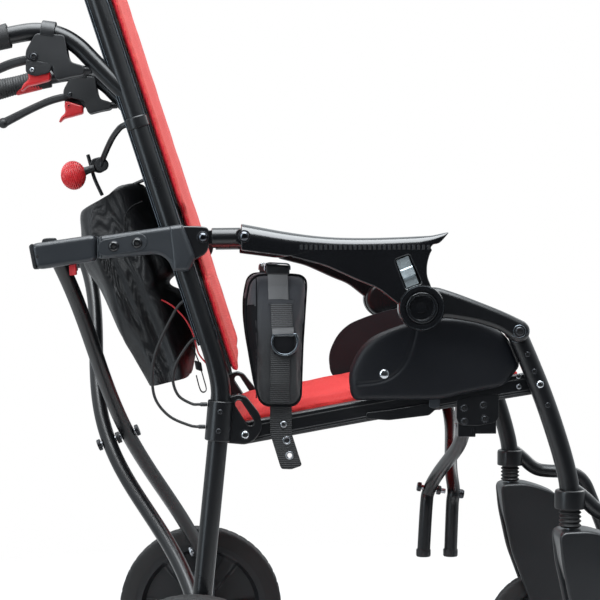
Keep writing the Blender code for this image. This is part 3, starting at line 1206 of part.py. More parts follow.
def caster_fork(side, tag):
    outline = [(CASTER_AXIS_X + point[0], point[1]) for point in FORK_OUTLINE]
    middle = side * SIDE_PLANE
    fork = plate("caster_fork_" + tag, outline, (middle - FORK_OUTER, middle + FORK_OUTER))
    throat_span = (CASTER_AXIS_X + FORK_THROAT_SPAN[0], CASTER_AXIS_X + FORK_THROAT_SPAN[1])
    throat_heights = (FORK_THROAT_BOTTOM, FORK_CROWN_BOTTOM)
    throat = block("throat_" + tag, throat_span, (middle - FORK_INNER, middle + FORK_INNER), throat_heights)
    bore_bottom = at(side, (CASTER_AXIS_X, FORK_TOP - FORK_STEM_BORE_DEPTH))
    bore_top = at(side, (CASTER_AXIS_X, FORK_TOP + OVERCUT))
    bore = rod("stem_bore_" + tag, bore_bottom, bore_top, POST_SPIGOT_RADIUS + PIN_CLEARANCE)
    level_span = (CASTER_AXIS_X + FORK_LEVEL_SPAN[0], CASTER_AXIS_X + FORK_LEVEL_SPAN[1])
    level_lane = (middle - FORK_OUTER - OVERCUT, middle + FORK_OUTER + OVERCUT)
    level_heights = (FORK_TOP - FORK_LEVEL_DEPTH, FORK_TOP + OVERCUT)
    level = block("crown_level_" + tag, level_span, level_lane, level_heights)
    cut(fork, throat, bore, level)
    axle = (CASTER_AXIS_X + CASTER_TRAIL, CASTER_RADIUS)
    axle_lane = (middle - FORK_OUTER + PIN_END, middle + FORK_OUTER - PIN_END)
    add(fork, cross_rod("caster_axle_" + tag, axle, axle_lane, CASTER_AXLE_RADIUS))
    deliver(fork, cast_grey(fork.name), (CASTER_AXIS_X, middle, FORK_TOP))


def caster_wheel(side, tag):
    bore = CASTER_AXLE_RADIUS + PIN_CLEARANCE
    profile = wheel_profile(CASTER_RADIUS, CASTER_HALF_WIDTH, CASTER_TYRE_DEPTH, bore, CASTER_HUB_RADIUS)
    wheel("caster_wheel_" + tag, profile, at(side, (CASTER_AXIS_X + CASTER_TRAIL, CASTER_RADIUS)))


def footplate(side, tag):
    # The board's outer strip starts further forward, clear of the hanger's knuckle.
    inner_edge = FOOT_KNUCKLE_LANE[0] - CLEARANCE
    inner_lane = lane_of(side, (FOOT_LANE[0], inner_edge))
    outer_lane = lane_of(side, (inner_edge - FOOT_EDGE_OVERLAP, FOOT_LANE[1]))
    heights = (FOOT_PIVOT[1] - FOOT_THICKNESS / 2, FOOT_PIVOT[1] + FOOT_THICKNESS / 2)
    front = FOOT_PIVOT[0] + FOOT_LENGTH
    board = block("footplate_" + tag, (FOOT_PIVOT[0], front), inner_lane, heights)
    add(
        board,
        block("foot_edge_" + tag, (FOOT_PIVOT[0] + FOOT_EDGE_START, front), outer_lane, heights),
        cross_rod("foot_barrel_" + tag, FOOT_PIVOT, inner_lane, FOOT_BARREL_RADIUS, DISC_SIDES),
    )
    cut(board, through_bore("foot_bore_" + tag, side, FOOT_PIVOT, FOOT_PIN_RADIUS))
    deliver(board, gloss_black(board.name), at(side, FOOT_PIVOT))


def pad_hollow(across):
    return BACK_PAD_CROWN * (1 - across * across)


def back_pad():
    rings = []
    low, high = BACK_PAD_SPAN
    for row in range(BACK_PAD_ROWS + 1):
        share = row / BACK_PAD_ROWS
        height = low + (high - low) * share
        ends = PAD_EDGE_DRAW * (2 * share - 1) ** PAD_END_POWER
        back = []
        front = []
        for column in range(PAD_COLUMNS + 1):
            across = 2 * column / PAD_COLUMNS - 1
            y = across * BACK_PAD_HALF_WIDTH
            hollow = pad_hollow(across)
            draw = PAD_EDGE_DRAW * abs(across) ** PAD_EDGE_POWER + ends
            x, z = back_tube_point(height, BACK_PAD_BACK - hollow)
            back.append((x, y, z))
            x, z = back_tube_point(height, BACK_PAD_FRONT - draw - hollow / 2)
            front.append((x, y, z))
        rings.append(back + list(reversed(front)))
    pad = lofted("back_pad", rings)
    for side in (-1, 1):
        notch_lane = lane_of(side, BACK_PAD_NOTCH_LANE)
        cut(pad, block("pad_notch", BACK_PAD_NOTCH_SPAN, notch_lane, BACK_PAD_NOTCH_HEIGHTS))
    deliver(pad, red_fabric(pad.name), (back_tube_point(low, BACK_PAD_BACK)[0], 0.0, low))


def seat_pad():
    rings = []
    low, high = SEAT_PAD_SPAN
    for row in range(SEAT_PAD_ROWS + 1):
        share = row / SEAT_PAD_ROWS
        x = low + (high - low) * share
        ends = PAD_EDGE_DRAW * (2 * share - 1) ** PAD_EDGE_POWER
        top_line = rail_height(x) + RAIL_HALF_HEIGHT
        under = []
        top = []
        for column in range(PAD_COLUMNS + 1):
            across = 2 * column / PAD_COLUMNS - 1
            y = across * SEAT_PAD_HALF_WIDTH
            sag = SEAT_PAD_SAG * (1 - across * across)
            draw = PAD_EDGE_DRAW * abs(across) ** PAD_EDGE_POWER + ends
            under.append((x, y, top_line - SEAT_PAD_THICKNESS - sag + draw / 2))
            top.append((x, y, top_line - sag - draw))
        rings.append(under + list(reversed(top)))
    pad = lofted("seat_pad", rings)
    deliver(pad, red_fabric(pad.name), (low, 0.0, rail_height(low)))


def soft_panel(name, side, outline, inner, outer):
    # A panel with a flat inboard face; its outboard face swells towards the middle.
    count = len(outline)
    centre = Vector((sum(x for x, _ in outline) / count, sum(z for _, z in outline) / count))
    rings = []
    for share, swell in [(PANEL_CORE, 0.0), (1.0, 0.0), *PANEL_SWELL]:
        depth = inner + (outer - inner) * swell
        ring = [centre + (Vector(point) - centre) * share for point in outline]
        rings.append([at(side, point, depth) for point in ring])
    return lofted(name, rings)


def side_guard(side, tag):
    guard = soft_panel("side_guard_" + tag, side, GUARD_OUTLINE, *GUARD_LANE)
    deliver(guard, black_fabric(guard.name), at(side, GUARD_OUTLINE[-1], GUARD_LANE[0]))


def hip_pad(side, tag):
    pad = soft_panel("hip_pad_" + tag, side, HIP_PAD_OUTLINE, *HIP_PAD_LANE)
    add(
        pad,
        plate("hip_strap_" + tag, HIP_STRAP_OUTLINE, lane_of(side, HIP_STRAP_LANE)),
        block("hip_seam_" + tag, HIP_STRAP_SPAN, lane_of(side, HIP_SEAM_LANE), HIP_SEAM_HEIGHTS),
    )
    cut(pad, through_bore("hip_bore_" + tag, side, HIP_PIVOT, HIP_PIN_RADIUS))
    deliver(pad, grey_neoprene(pad.name), at(side, HIP_PIVOT, HIP_STRAP_LANE[0]))


def bag_strap(side):
    # A hanging tab from the bag's top edge to the rear face of the back pad.
    inner = BAG_STRAP_Y - BAG_STRAP_WIDTH / 2
    low, high = BAG_STRAP_HEIGHTS
    reach = BACK_PAD_BACK - pad_hollow(inner / BACK_PAD_HALF_WIDTH) - CLEARANCE
    start = Vector(BAG_FRONT_LINE[0]) + Vector(BAG_STRAP_ROOT)
    upper_start = start + Vector((0.0, high - low))
    outline = [start, back_tube_point(low, reach), back_tube_point(high, reach), upper_start]
    return plate("bag_strap", outline, lane_of(side, (inner, inner + BAG_STRAP_WIDTH)))


def rear_bag():
    rings = []
    for row, (rear_point, front_point) in enumerate(zip(BAG_REAR_LINE, BAG_FRONT_LINE)):
        middle_x = (rear_point[0] + front_point[0]) / 2
        back = []
        front = []
        for column in range(BAG_COLUMNS + 1):
            across = 2 * column / BAG_COLUMNS - 1
            y = across * BAG_HALF_WIDTH
            round_off = 1 - BAG_CORNER_SHARE * abs(across) ** 4
            wave = math.sin(math.pi * BAG_FOLDS * across + BAG_FOLD_DRIFT * row)
            fold = BAG_FOLD_DEPTH * wave * (1 - across ** 4)
            back.append((middle_x + (rear_point[0] - middle_x) * round_off + fold, y, rear_point[1]))
            front.append((middle_x + (front_point[0] - middle_x) * round_off, y, front_point[1]))
        rings.append(back + list(reversed(front)))
    bag = lofted("rear_bag", rings)
    add(bag, bag_strap(-1), bag_strap(1))
    deliver(bag, black_fabric(bag.name), at(0, BAG_FRONT_LINE[-1]))


def cross_tube(tag, foot_side, bow):
    _, _, length = cross_axes()
    first = -CROSS_END_OVERLAP
    last = length + CROSS_END_OVERLAP
    route = []
    for step in range(CROSS_STEPS + 1):
        reach = first + (last - first) * step / CROSS_STEPS
        route.append(cross_point(reach, foot_side * cross_width(reach), cross_forward(reach, bow)))
    arm = tube("cross_tube_" + tag, route, CROSS_RADIUS)
    hole = CROSS_BOLT_RADIUS + PIN_CLEARANCE
    foot_y = foot_side * CROSS_BOTTOM_Y
    foot_start = cross_point(0.0, foot_y, -CROSS_BORE_REACH)
    foot_end = cross_point(0.0, foot_y, CROSS_BORE_REACH)
    middle_start = cross_point(CROSS_BOLT_REACH, 0.0, -CROSS_BORE_BACK)
    middle_end = cross_point(CROSS_BOLT_REACH, 0.0, CROSS_BORE_REACH)
    cut(
        arm,
        rod("foot_bore_" + tag, foot_start, foot_end, hole),
        rod("middle_bore_" + tag, middle_start, middle_end, hole),
    )
    return arm


def cross_pair():
    rear = cross_tube("rear", -1, CROSS_BOW_REAR)
    deliver(rear, satin_black(rear.name), cross_point(0.0, -CROSS_BOTTOM_Y, 0.0))
    front = cross_tube("front", 1, CROSS_BOW_FRONT)
    deliver(front, satin_black(front.name), cross_point(CROSS_BOLT_REACH, 0.0, CROSS_BOW_FRONT))


def cross_bolt():
    hold = CROSS_RADIUS + CROSS_DISC_GAP
    spans = [
        (CROSS_BOW_REAR - hold - CROSS_HEAD_HEIGHT, CROSS_BOW_REAR - hold),
        (CROSS_BOW_REAR + hold, CROSS_BOW_FRONT - hold),
        (CROSS_BOW_FRONT + hold, CROSS_BOW_FRONT + hold + CROSS_HEAD_HEIGHT),
    ]
    tail = cross_point(CROSS_BOLT_REACH, 0.0, spans[0][0] + PIN_ROOT)
    tip = cross_point(CROSS_BOLT_REACH, 0.0, spans[2][1] - PIN_ROOT)
    bolt = rod("cross_bolt", tail, tip, CROSS_BOLT_RADIUS)
    for span in spans:
        start, end = [cross_point(CROSS_BOLT_REACH, 0.0, depth) for depth in span]
        add(bolt, rod("bolt_disc", start, end, CROSS_HEAD_RADIUS))
    deliver(bolt, zinc_steel(bolt.name), cross_point(CROSS_BOLT_REACH, 0.0, CROSS_BOW_FRONT))


def lever_stay():
    stay = tube("lever_stay", KNOB_STAY_ROUTE, KNOB_STAY_RADIUS, THIN_RESOLUTION)
    saddle_ends = [at(-1, back_tube_point(height, KNOB_SADDLE_OFFSET)) for height in KNOB_SADDLE_HEIGHTS]
    nut_lane = (KNOB_PLATE_LANE[0] - CLEARANCE, KNOB_PLATE_LANE[0] - CLEARANCE - KNOB_NUT_HEIGHT)
    pin_lane = (nut_lane[1], KNOB_PLATE_LANE[1] - PIN_END)
    add(
        stay,
        rod("saddle", *saddle_ends, KNOB_SADDLE_RADIUS),
        cross_rod("nut", KNOB_PIVOT, nut_lane, KNOB_NUT_RADIUS),
        cross_rod("knob_pin", KNOB_PIVOT, pin_lane, KNOB_PIN_RADIUS),
    )
    cut(stay, back_tube_cutter("saddle_bore", -1, TUBE_RADIUS + CLEARANCE, KNOB_SADDLE_BORE_HEIGHTS))
    deliver(stay, satin_black(stay.name), at(-1, KNOB_PIVOT, -KNOB_LANE))


def recline_lever():
    lever = plate("recline_lever", KNOB_PLATE_OUTLINE, KNOB_PLATE_LANE)
    centre = Matrix.Translation((KNOB_CENTRE[0], KNOB_LANE, KNOB_CENTRE[1]))
    cage = bmesh.new()
    bmesh.ops.create_uvsphere(
        cage, u_segments=KNOB_COLUMNS, v_segments=KNOB_ROWS, radius=KNOB_RADIUS,
        matrix=centre @ Matrix.Diagonal((1.0, 1.0, KNOB_STRETCH, 1.0)),
    )
    add(lever, mesh_object("knob_ball", cage))
    cut(lever, through_bore("knob_bore", -1, KNOB_PIVOT, KNOB_PIN_RADIUS))
    deliver(lever, red_plastic(lever.name), at(-1, KNOB_PIVOT, -KNOB_LANE))


def sleeve_rear(height):
    upper, lower = SEAT_SLEEVE_ENDS
    share = (height - lower[1]) / (upper[1] - lower[1])
    return lower[0] + (upper[0] - lower[0]) * share - SEAT_SLEEVE_RADIUS


def cable_ends(heights):
    # A cable leaves the back tube's rear side and runs square onto the seat plate's sleeve.
    top, bottom = heights
    start = back_tube_point(top, -TUBE_RADIUS - CABLE_RADIUS - CLEARANCE)
    return start, (sleeve_rear(bottom) - CLEARANCE, bottom)


def frame_cables():
    cables = [
        ("recline_cable", RECLINE_CABLE_HEIGHTS, RECLINE_CABLE_ROUTE),
        ("brake_cable", BRAKE_CABLE_HEIGHTS, BRAKE_CABLE_ROUTE),
    ]
    for name, heights, middle in cables:
        start, end = cable_ends(heights)
        line = smooth_route(side_route(-1, [start, *middle, end]), CABLE_STEPS)
        cable = tube(name, line, CABLE_RADIUS, THIN_RESOLUTION)
        deliver(cable, black_rubber(cable.name), line[0])


def build_side(side, tag):
    rear_frame(side, tag)
    seat_plate(side, tag)
    axle_block(side, tag)
    rear_wheel(side, tag)
    handle(side, tag)
    grip(side, tag)
    brake_lever(side, tag)
    lock_trigger(side, tag)
    runner(side, tag)
    outrigger(side, tag)
    arm_tube(side, tag)
    armrest(side, tag)
    armrest_latch(side, tag)
    hub_cap(side, tag)
    front_arm(side, tag)
    seat_rail(side, tag)
    brace(side, tag)
    front_leg(side, tag)
    caster_post(side, tag)
    caster_fork(side, tag)
    caster_wheel(side, tag)
    footplate(side, tag)
    side_guard(side, tag)
    hip_pad(side, tag)


def centre_on_origin():
    for group in (parts, cutters):
        for item in group.objects:
            item.location.x -= DATUM_SHIFT


remove_everything()
parts = new_collection("special_needs_stroller")
cutters = new_collection("cutters")
for side_sign, side_tag in ((-1, "right"), (1, "left")):
    build_side(side_sign, side_tag)
cross_pair()
cross_bolt()
brace_bolt()
lever_stay()
recline_lever()
back_pad()
seat_pad()
rear_bag()
frame_cables()
centre_on_origin()
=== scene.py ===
import math

import bmesh
import bpy
import numpy as np
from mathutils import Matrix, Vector
from mathutils.geometry import tessellate_polygon


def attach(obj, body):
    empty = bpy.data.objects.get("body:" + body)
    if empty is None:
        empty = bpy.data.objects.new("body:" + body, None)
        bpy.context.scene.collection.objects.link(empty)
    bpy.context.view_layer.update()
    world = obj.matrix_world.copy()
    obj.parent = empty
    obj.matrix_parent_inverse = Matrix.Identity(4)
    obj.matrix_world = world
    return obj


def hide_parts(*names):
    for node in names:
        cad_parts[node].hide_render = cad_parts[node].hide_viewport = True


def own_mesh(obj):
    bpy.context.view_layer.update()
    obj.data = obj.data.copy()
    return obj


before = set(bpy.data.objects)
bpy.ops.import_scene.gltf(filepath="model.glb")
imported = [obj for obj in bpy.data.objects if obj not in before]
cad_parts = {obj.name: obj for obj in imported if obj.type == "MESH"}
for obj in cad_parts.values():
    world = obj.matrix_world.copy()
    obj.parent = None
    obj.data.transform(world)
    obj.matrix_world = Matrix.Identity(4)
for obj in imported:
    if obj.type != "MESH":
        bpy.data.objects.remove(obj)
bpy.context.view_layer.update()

datumShift = 0.1959  # side coordinates (x, z) run from a datum near the seat plate
sidePlane = 0.215  # the plane of the back tubes and front legs
sides = {"right": -1, "left": 1}
fullTurn = 2 * math.pi


# working out surfaces

def unit(rows):
    rows = np.asarray(rows, float)
    return rows / np.linalg.norm(rows, axis=-1, keepdims=True)


def spaced(flat, y):
    # side coordinates (x, z) with their lane y, as points of the row frame
    return np.stack([flat[..., 0] - datumShift, np.broadcast_to(y, flat.shape[:-1]), flat[..., 1]], axis=-1)


def inLane(points, y):
    # one or more side coordinates in the lane y, as rows of points
    return spaced(np.atleast_2d(np.asarray(points, float)), float(y))


def squareTo(heading):
    return np.stack([-heading[..., 1], heading[..., 0]], axis=-1)


def quadratic(start, corner, end, steps):
    # (1-t)^2 start + 2t(1-t) corner + t^2 end, for every corner at once
    t = np.linspace(0, 1, steps)[None, :, None]
    curve = (1 - t) ** 2 * start[:, None] + 2 * t * (1 - t) * corner[:, None] + t * t * end[:, None]
    return curve.reshape(-1, corner.shape[1])


def roundedRoute(points, reach=1.0, steps=6):
    # an open line whose corners are quadratic curves that start reach before them, or half a run
    p = np.asarray(points, float)
    run = np.diff(p, axis=0)
    length = np.linalg.norm(run, axis=1)
    cut = np.minimum(reach, 0.5 * np.minimum(length[:-1], length[1:]))[:, None]
    start = p[1:-1] - run[:-1] / length[:-1, None] * cut
    end = p[1:-1] + run[1:] / length[1:, None] * cut
    route = np.vstack([p[:1], quadratic(start, p[1:-1], end, steps), p[-1:]])
    apart = np.linalg.norm(np.diff(route, axis=0), axis=1) > 1e-5
    return route[np.concatenate([[True], apart])]


def roundedLoop(points, reach=0.003, steps=6):
    # a closed outline with quadratic corners
    p = np.asarray(points, float)
    back, ahead = np.roll(p, 1, axis=0) - p, np.roll(p, -1, axis=0) - p
    backLength, aheadLength = (np.linalg.norm(run, axis=1)[:, None] for run in (back, ahead))
    cut = np.minimum(reach, 0.49 * np.minimum(backLength, aheadLength))
    return quadratic(p + back / backLength * cut, p, p + ahead / aheadLength * cut, steps)


def smoothRoute(points, steps):
    # Catmull-Rom through the points: 0.5 (2b + (c-a)t + (2a-5b+4c-d)t^2 + (3b-a-3c+d)t^3)
    p = np.asarray(points, float)
    rows = (p[np.r_[0, 0:len(p) - 2]], p[:-1], p[1:], p[np.r_[2:len(p), len(p) - 1]])
    a, b, c, d = (row[:, None] for row in rows)
    t = np.linspace(0, 1, steps, endpoint=False)[None, :, None]
    line = 0.5 * (2 * b + (c - a) * t + (2 * a - 5 * b + 4 * c - d) * t ** 2
                  + (3 * b - a - 3 * c + d) * t ** 3)
    return np.vstack([line.reshape(-1, p.shape[1]), p[-1:]])


def arc(centre, radius, first, last, steps=16):
    angle = np.radians(np.linspace(first, last, steps))
    return np.column_stack([centre[0] + radius * np.cos(angle), centre[1] + radius * np.sin(angle)])


def capsule(start, end, radius, steps=12):
    heading = math.degrees(math.atan2(end[1] - start[1], end[0] - start[0]))
    return np.vstack([arc(end, radius, heading - 90, heading + 90, steps),
                      arc(start, radius, heading + 90, heading + 270, steps)])


def resampled(points, count, closed=False):
    # the same line with evenly spaced points
    p = np.asarray(points, float)
    if closed:
        p = np.vstack([p, p[:1]])
    run = np.concatenate([[0], np.cumsum(np.linalg.norm(np.diff(p, axis=0), axis=1))])
    where = np.linspace(0, run[-1], count, endpoint=not closed)
    return np.column_stack([np.interp(where, run, column) for column in p.T])


def squaredRing(wide, deep, count=120):
    # cosine and sine of one turn, each raised to a power below 1 to square the circle
    angle = np.linspace(0, fullTurn, count, endpoint=False)
    return (np.sign(np.cos(angle)) * np.abs(np.cos(angle)) ** wide,
            np.sign(np.sin(angle)) * np.abs(np.sin(angle)) ** deep)


def ringShell(grid, ends=True, closed=False):
    # closed rings joined by quads; the first and last ring get a face, or meet where closed
    rows, columns = grid.shape[:2]
    index = np.arange(rows * columns).reshape(rows, columns)
    after = np.roll(index, -1, axis=1)
    quads = np.stack([index, after, np.roll(after, -1, axis=0), np.roll(index, -1, axis=0)], axis=-1)
    quads = quads[:rows if closed else rows - 1].reshape(-1, 4)
    corners, sizes = quads.ravel(), np.full(len(quads), 4)
    if ends and not closed:
        corners = np.concatenate([corners, index[0][::-1], index[-1]])
        sizes = np.concatenate([sizes, [columns, columns]])
    return grid.reshape(-1, 3), corners, sizes


def joined(shells):
    starts = np.cumsum([0] + [len(points) for points, _, _ in shells])
    return (np.vstack([points for points, _, _ in shells]),
            np.concatenate([corners + start for (_, corners, _), start in zip(shells, starts)]),
            np.concatenate([sizes for _, _, sizes in shells]))


def tangents(p, closed=False):
    if closed:
        return unit(np.roll(p, -1, axis=0) - np.roll(p, 1, axis=0))
    return unit(np.vstack([p[1] - p[0], p[2:] - p[:-2], p[-1] - p[-2]]))


def axesAlong(t, across):
    u = unit(np.asarray(across, float) - (t @ np.asarray(across, float))[:, None] * t)
    return u, np.cross(t, u)


def sweep(route, profile, across=(0, 1, 0), closed=False):
    # the profile's (a, b) pairs carried along the route: point + a*u + b*v, u as near across as can be
    p, profile = np.asarray(route, float), np.asarray(profile, float)
    u, v = axesAlong(tangents(p, closed), across)
    return ringShell(p[:, None] + profile[None, :, :1] * u[:, None] + profile[None, :, 1:] * v[:, None],
                     closed=closed)


def tube(route, radius, roll=0.0012, round=36, across=(0, 1, 0)):
    # a circle carried along the route; its two ends roll in by a quarter circle of radius roll
    p = np.asarray(route, float)
    t = tangents(p)
    radius = np.broadcast_to(np.asarray(radius, float), (len(p),))
    angle = np.linspace(0, math.pi / 2, 5)[:-1]
    inwards = roll * (1 - np.cos(angle))[:, None]
    shrink = roll * (1 - np.sin(angle))
    line = np.vstack([p[0] + t[0] * inwards, p[0] + t[0] * roll, p[1:-1], p[-1] - t[-1] * roll,
                      p[-1] - t[-1] * inwards[::-1]])
    turn = np.vstack([np.repeat(t[:1], 5, axis=0), t[1:-1], np.repeat(t[-1:], 5, axis=0)])
    size = np.concatenate([radius[0] - shrink, radius, radius[-1] - shrink[::-1]])
    u, v = axesAlong(turn, across)
    around = np.linspace(0, fullTurn, round, endpoint=False)
    circle = np.cos(around)[None, :, None] * u[:, None] + np.sin(around)[None, :, None] * v[:, None]
    return ringShell(line[:, None] + size[:, None, None] * circle)


def turned(profile, centre, axis, round=36, hexFrom=None):
    # (radius, height) pairs carried round the axis; from ring hexFrom on, the circle is a hexagon
    profile = np.asarray(profile, float)
    t = unit(np.asarray(axis, float))
    u, v = axesAlong(t[None], (1, 0, 0) if abs(t[0]) < 0.9 else (0, 0, 1))
    around = np.linspace(0, fullTurn, round, endpoint=False)
    radius = np.repeat(profile[:, :1], round, axis=1)
    if hexFrom is not None:
        radius[hexFrom:] *= math.cos(math.pi / 6) / np.cos(np.mod(around, math.pi / 3) - math.pi / 6)
    circle = np.cos(around)[:, None] * u[0] + np.sin(around)[:, None] * v[0]
    centres = np.asarray(centre, float) + profile[:, 1:, None] * t
    return ringShell(centres + radius[..., None] * circle)


def fillMesh(mesh, points, corners, sizes):
    mesh.vertices.add(len(points))
    mesh.vertices.foreach_set("co", points.ravel())
    mesh.loops.add(len(corners))
    mesh.loops.foreach_set("vertex_index", corners)
    mesh.polygons.add(len(sizes))
    mesh.polygons.foreach_set("loop_start", np.cumsum(sizes) - sizes)
    mesh.update(calc_edges=True)


def fetched(items, label, width=3, kind=float):
    values = np.zeros(len(items) * width, kind)
    items.foreach_get(label, values)
    return values.reshape(-1, width) if width > 1 else values


def readMesh(mesh):
    return (fetched(mesh.vertices, "co"), fetched(mesh.loops, "vertex_index", 1, int),
            fetched(mesh.polygons, "loop_total", 1, int))


def throughCage(mesh, change):
    # a bmesh operation on a mesh
    cage = bmesh.new()
    cage.from_mesh(mesh)
    change(cage)
    cage.to_mesh(mesh)
    cage.free()


def lineDistance(x, z, line):
    # the least distance from each (x, z) to a bent line
    line = np.asarray(line, float)
    start, run = line[:-1], np.diff(line, axis=0)
    dx, dz = x[..., None] - start[:, 0], z[..., None] - start[:, 1]
    share = np.clip((dx * run[:, 0] + dz * run[:, 1]) / np.maximum((run ** 2).sum(axis=1), 1e-14), 0, 1)
    return np.sqrt((dx - share * run[:, 0]) ** 2 + (dz - share * run[:, 1]) ** 2).min(axis=-1)


def inset(outline, amount):
    # a closed outline drawn in by the amount; points that would cross over meet between their neighbours
    p = np.asarray(outline, float)
    run = np.roll(p, -1, axis=0) - p
    area = np.sum(p[:, 0] * run[:, 1] - p[:, 1] * run[:, 0])
    ahead = run / np.maximum(np.linalg.norm(run, axis=1, keepdims=True), 1e-9)
    normal = squareTo(ahead) * np.sign(area)
    both = normal + np.roll(normal, 1, axis=0)
    moved = p + amount * both * 2 / np.maximum((both ** 2).sum(axis=1, keepdims=True), 1.2)
    if abs(amount) < 1e-7:
        return moved
    near = lineDistance(moved[:, 0], moved[:, 1], np.vstack([p, p[:1]]))
    good = np.flatnonzero(near > abs(amount) * 0.96)
    bad = np.setdiff1d(np.arange(len(p)), good)
    if len(bad) and len(good) > 2:
        place = np.searchsorted(good, bad)
        moved[bad] = (moved[good[place - 1]] + moved[good[place % len(good)]]) / 2
    return moved


def cleanLoop(points, least=0.00008):
    # an outline without points that all but coincide
    p = np.asarray(points, float)
    for _ in range(3):
        p = p[np.linalg.norm(p - np.roll(p, 1, axis=0), axis=1) > least]
    return p


def plate(loops, lane, bevel=0.001, rounds=3):
    # the first outline, less the holes after it, filled between two lanes; its edges are quarter circles
    low, high = sorted(lane)
    angle = np.linspace(0, math.pi / 2, rounds + 1)
    draw, rise = bevel * (1 - np.sin(angle)), bevel * (1 - np.cos(angle))
    draws = np.concatenate([draw, draw[::-1]])
    depths = np.concatenate([low + rise, high - rise[::-1]])
    walls, rims, index, lift, count = [], [], [], [], 0
    for number, loop in enumerate(map(cleanLoop, loops)):
        rings = np.stack([inset(loop, -amount if number else amount) for amount in draws])
        grid = np.concatenate([rings, np.broadcast_to(depths[:, None, None], rings.shape[:2] + (1,))],
                              axis=-1)
        walls.append(ringShell(grid, ends=False))
        kept = np.flatnonzero(np.linalg.norm(rings[0] - np.roll(rings[0], 1, axis=0), axis=1) > 1e-7)
        rims.append(list(map(Vector, np.pad(rings[0][kept], ((0, 0), (0, 1))))))
        index.append(kept + count)
        lift.append(np.full(len(kept), (len(draws) - 1) * len(loop)))
        count += len(draws) * len(loop)
    index, lift = np.concatenate(index), np.concatenate(lift)
    triangles = np.array(tessellate_polygon(rims), int)
    points, corners, sizes = joined(walls)
    corners = np.concatenate([corners, index[triangles].ravel(), (index + lift)[triangles[:, ::-1]].ravel()])
    mesh = bpy.data.meshes.new("plate")
    fillMesh(mesh, points, corners, np.concatenate([sizes, np.full(2 * len(triangles), 3)]))
    throughCage(mesh, lambda cage: bmesh.ops.remove_doubles(cage, verts=cage.verts, dist=2e-6))
    points, corners, sizes = readMesh(mesh)
    bpy.data.meshes.remove(mesh)
    return points[:, [0, 2, 1]] - [datumShift, 0, 0], corners, sizes


def softPanel(outline, lane, swell, relief, count, rings):
    # a stuffed panel: rings shrink towards the middle and rise by the swell; relief(x, z) adds to the depth
    loop = resampled(roundedLoop(outline, 0.02, 8), count, closed=True)
    centre = loop.mean(axis=0)
    inner, outer = lane
    front = 1 - np.linspace(0, 1, rings) ** 1.6 * 0.96
    share = np.concatenate([np.linspace(0.04, 1.0, 8), front])
    height = np.concatenate([np.zeros(8), swell(1 - front)])
    flat = centre + (loop - centre)[None] * share[:, None, None]
    depth = np.broadcast_to(inner + (outer - inner) * height[:, None], flat.shape[:2]).copy()
    depth[8:] += relief(flat[8:, :, 0], flat[8:, :, 1]) * np.sign(outer - inner)
    return ringShell(spaced(flat, depth))


def applied(item):
    return bpy.data.meshes.new_from_object(item.evaluated_get(bpy.context.evaluated_depsgraph_get()))


def stuffed(shell, allowed, voxel, pressure=4.0):
    # a cushion's skin filled with air by a short cloth simulation; allowed(points, normals) caps each move
    scene = bpy.context.scene
    mesh = bpy.data.meshes.new("skin")
    fillMesh(mesh, *shell)
    mesh.validate()
    item = bpy.data.objects.new("skin", mesh)
    scene.collection.objects.link(item)
    even = item.modifiers.new("even", "REMESH")
    even.mode = "VOXEL"
    even.voxel_size = voxel
    item.data = applied(item)
    item.modifiers.clear()
    start, out = fetched(item.data.vertices, "co"), fetched(item.data.vertices, "normal")
    cloth = item.modifiers.new("cloth", "CLOTH")
    cloth.settings.use_pressure = True
    cloth.settings.uniform_pressure_force = pressure
    cloth.settings.effector_weights.gravity = 0
    cloth.settings.quality = 4
    cloth.point_cache.frame_start = 1
    cloth.point_cache.frame_end = 20
    for number in range(1, 21):
        scene.frame_set(number)
    moved = fetched(applied(item).vertices, "co") - start
    length = np.linalg.norm(moved, axis=1) + 1e-9
    place = start + moved * np.minimum(1, allowed(start, out) / length)[:, None]
    item.modifiers.clear()
    item.data.vertices.foreach_set("co", place.ravel())
    item.modifiers.new("smooth", "SUBSURF").levels = 1
    result = readMesh(applied(item))
    scene.frame_set(1)
    bpy.data.objects.remove(item)
    print("cushion settled:", len(result[0]), "points, largest move", round(float(length.max()), 4))
    return result


def creases(u, v, waves):
    # shallow wrinkles: a sum of sines of height, pitch, heading and phase each
    total = np.zeros(np.broadcast(u, v).shape)
    for height, pitch, heading, phase in waves:
        along = u * math.cos(heading) + v * math.sin(heading)
        total = total + height * np.sin(fullTurn * along / pitch + phase)
    return total


# finishes

def node(tree, kind, output, inputs=(), **settings):
    # a shader node with its inputs set to values or linked to sockets; gives the named output
    made = tree.nodes.new("ShaderNode" + kind)
    for label, value in settings.items():
        setattr(made, label, value)
    for label, value in dict(inputs).items():
        if isinstance(value, bpy.types.NodeSocket):
            tree.links.new(value, made.inputs[label])
        else:
            made.inputs[label].default_value = value
    return made.outputs[output]


def noiseOn(tree, vector, scale, detail):
    return node(tree, "TexNoise", "Fac", {"Vector": vector, "Scale": scale, "Detail": detail,
                                          "Roughness": 0.5})


def spread(tree, value, low, high, fromLow=0.3, fromHigh=0.7, **settings):
    return node(tree, "MapRange", "Result", {"Value": value, "From Min": fromLow, "From Max": fromHigh,
                                             "To Min": low, "To Max": high}, **settings)


def blended(tree, factor, first, second, blend="MIX"):
    first, second = ((*tone, 1) if len(np.shape(tone)) and len(tone) == 3 else tone
                     for tone in (first, second))
    return node(tree, "Mix", "Result", {"Factor": factor, "A": first, "B": second},
                data_type="RGBA", blend_type=blend)


def placed(tree, turn=(0, 0, 0)):
    # Object coordinates, turned for a pattern
    where = node(tree, "TexCoord", "Object")
    return node(tree, "Mapping", "Vector", {"Rotation": turn, "Vector": where})


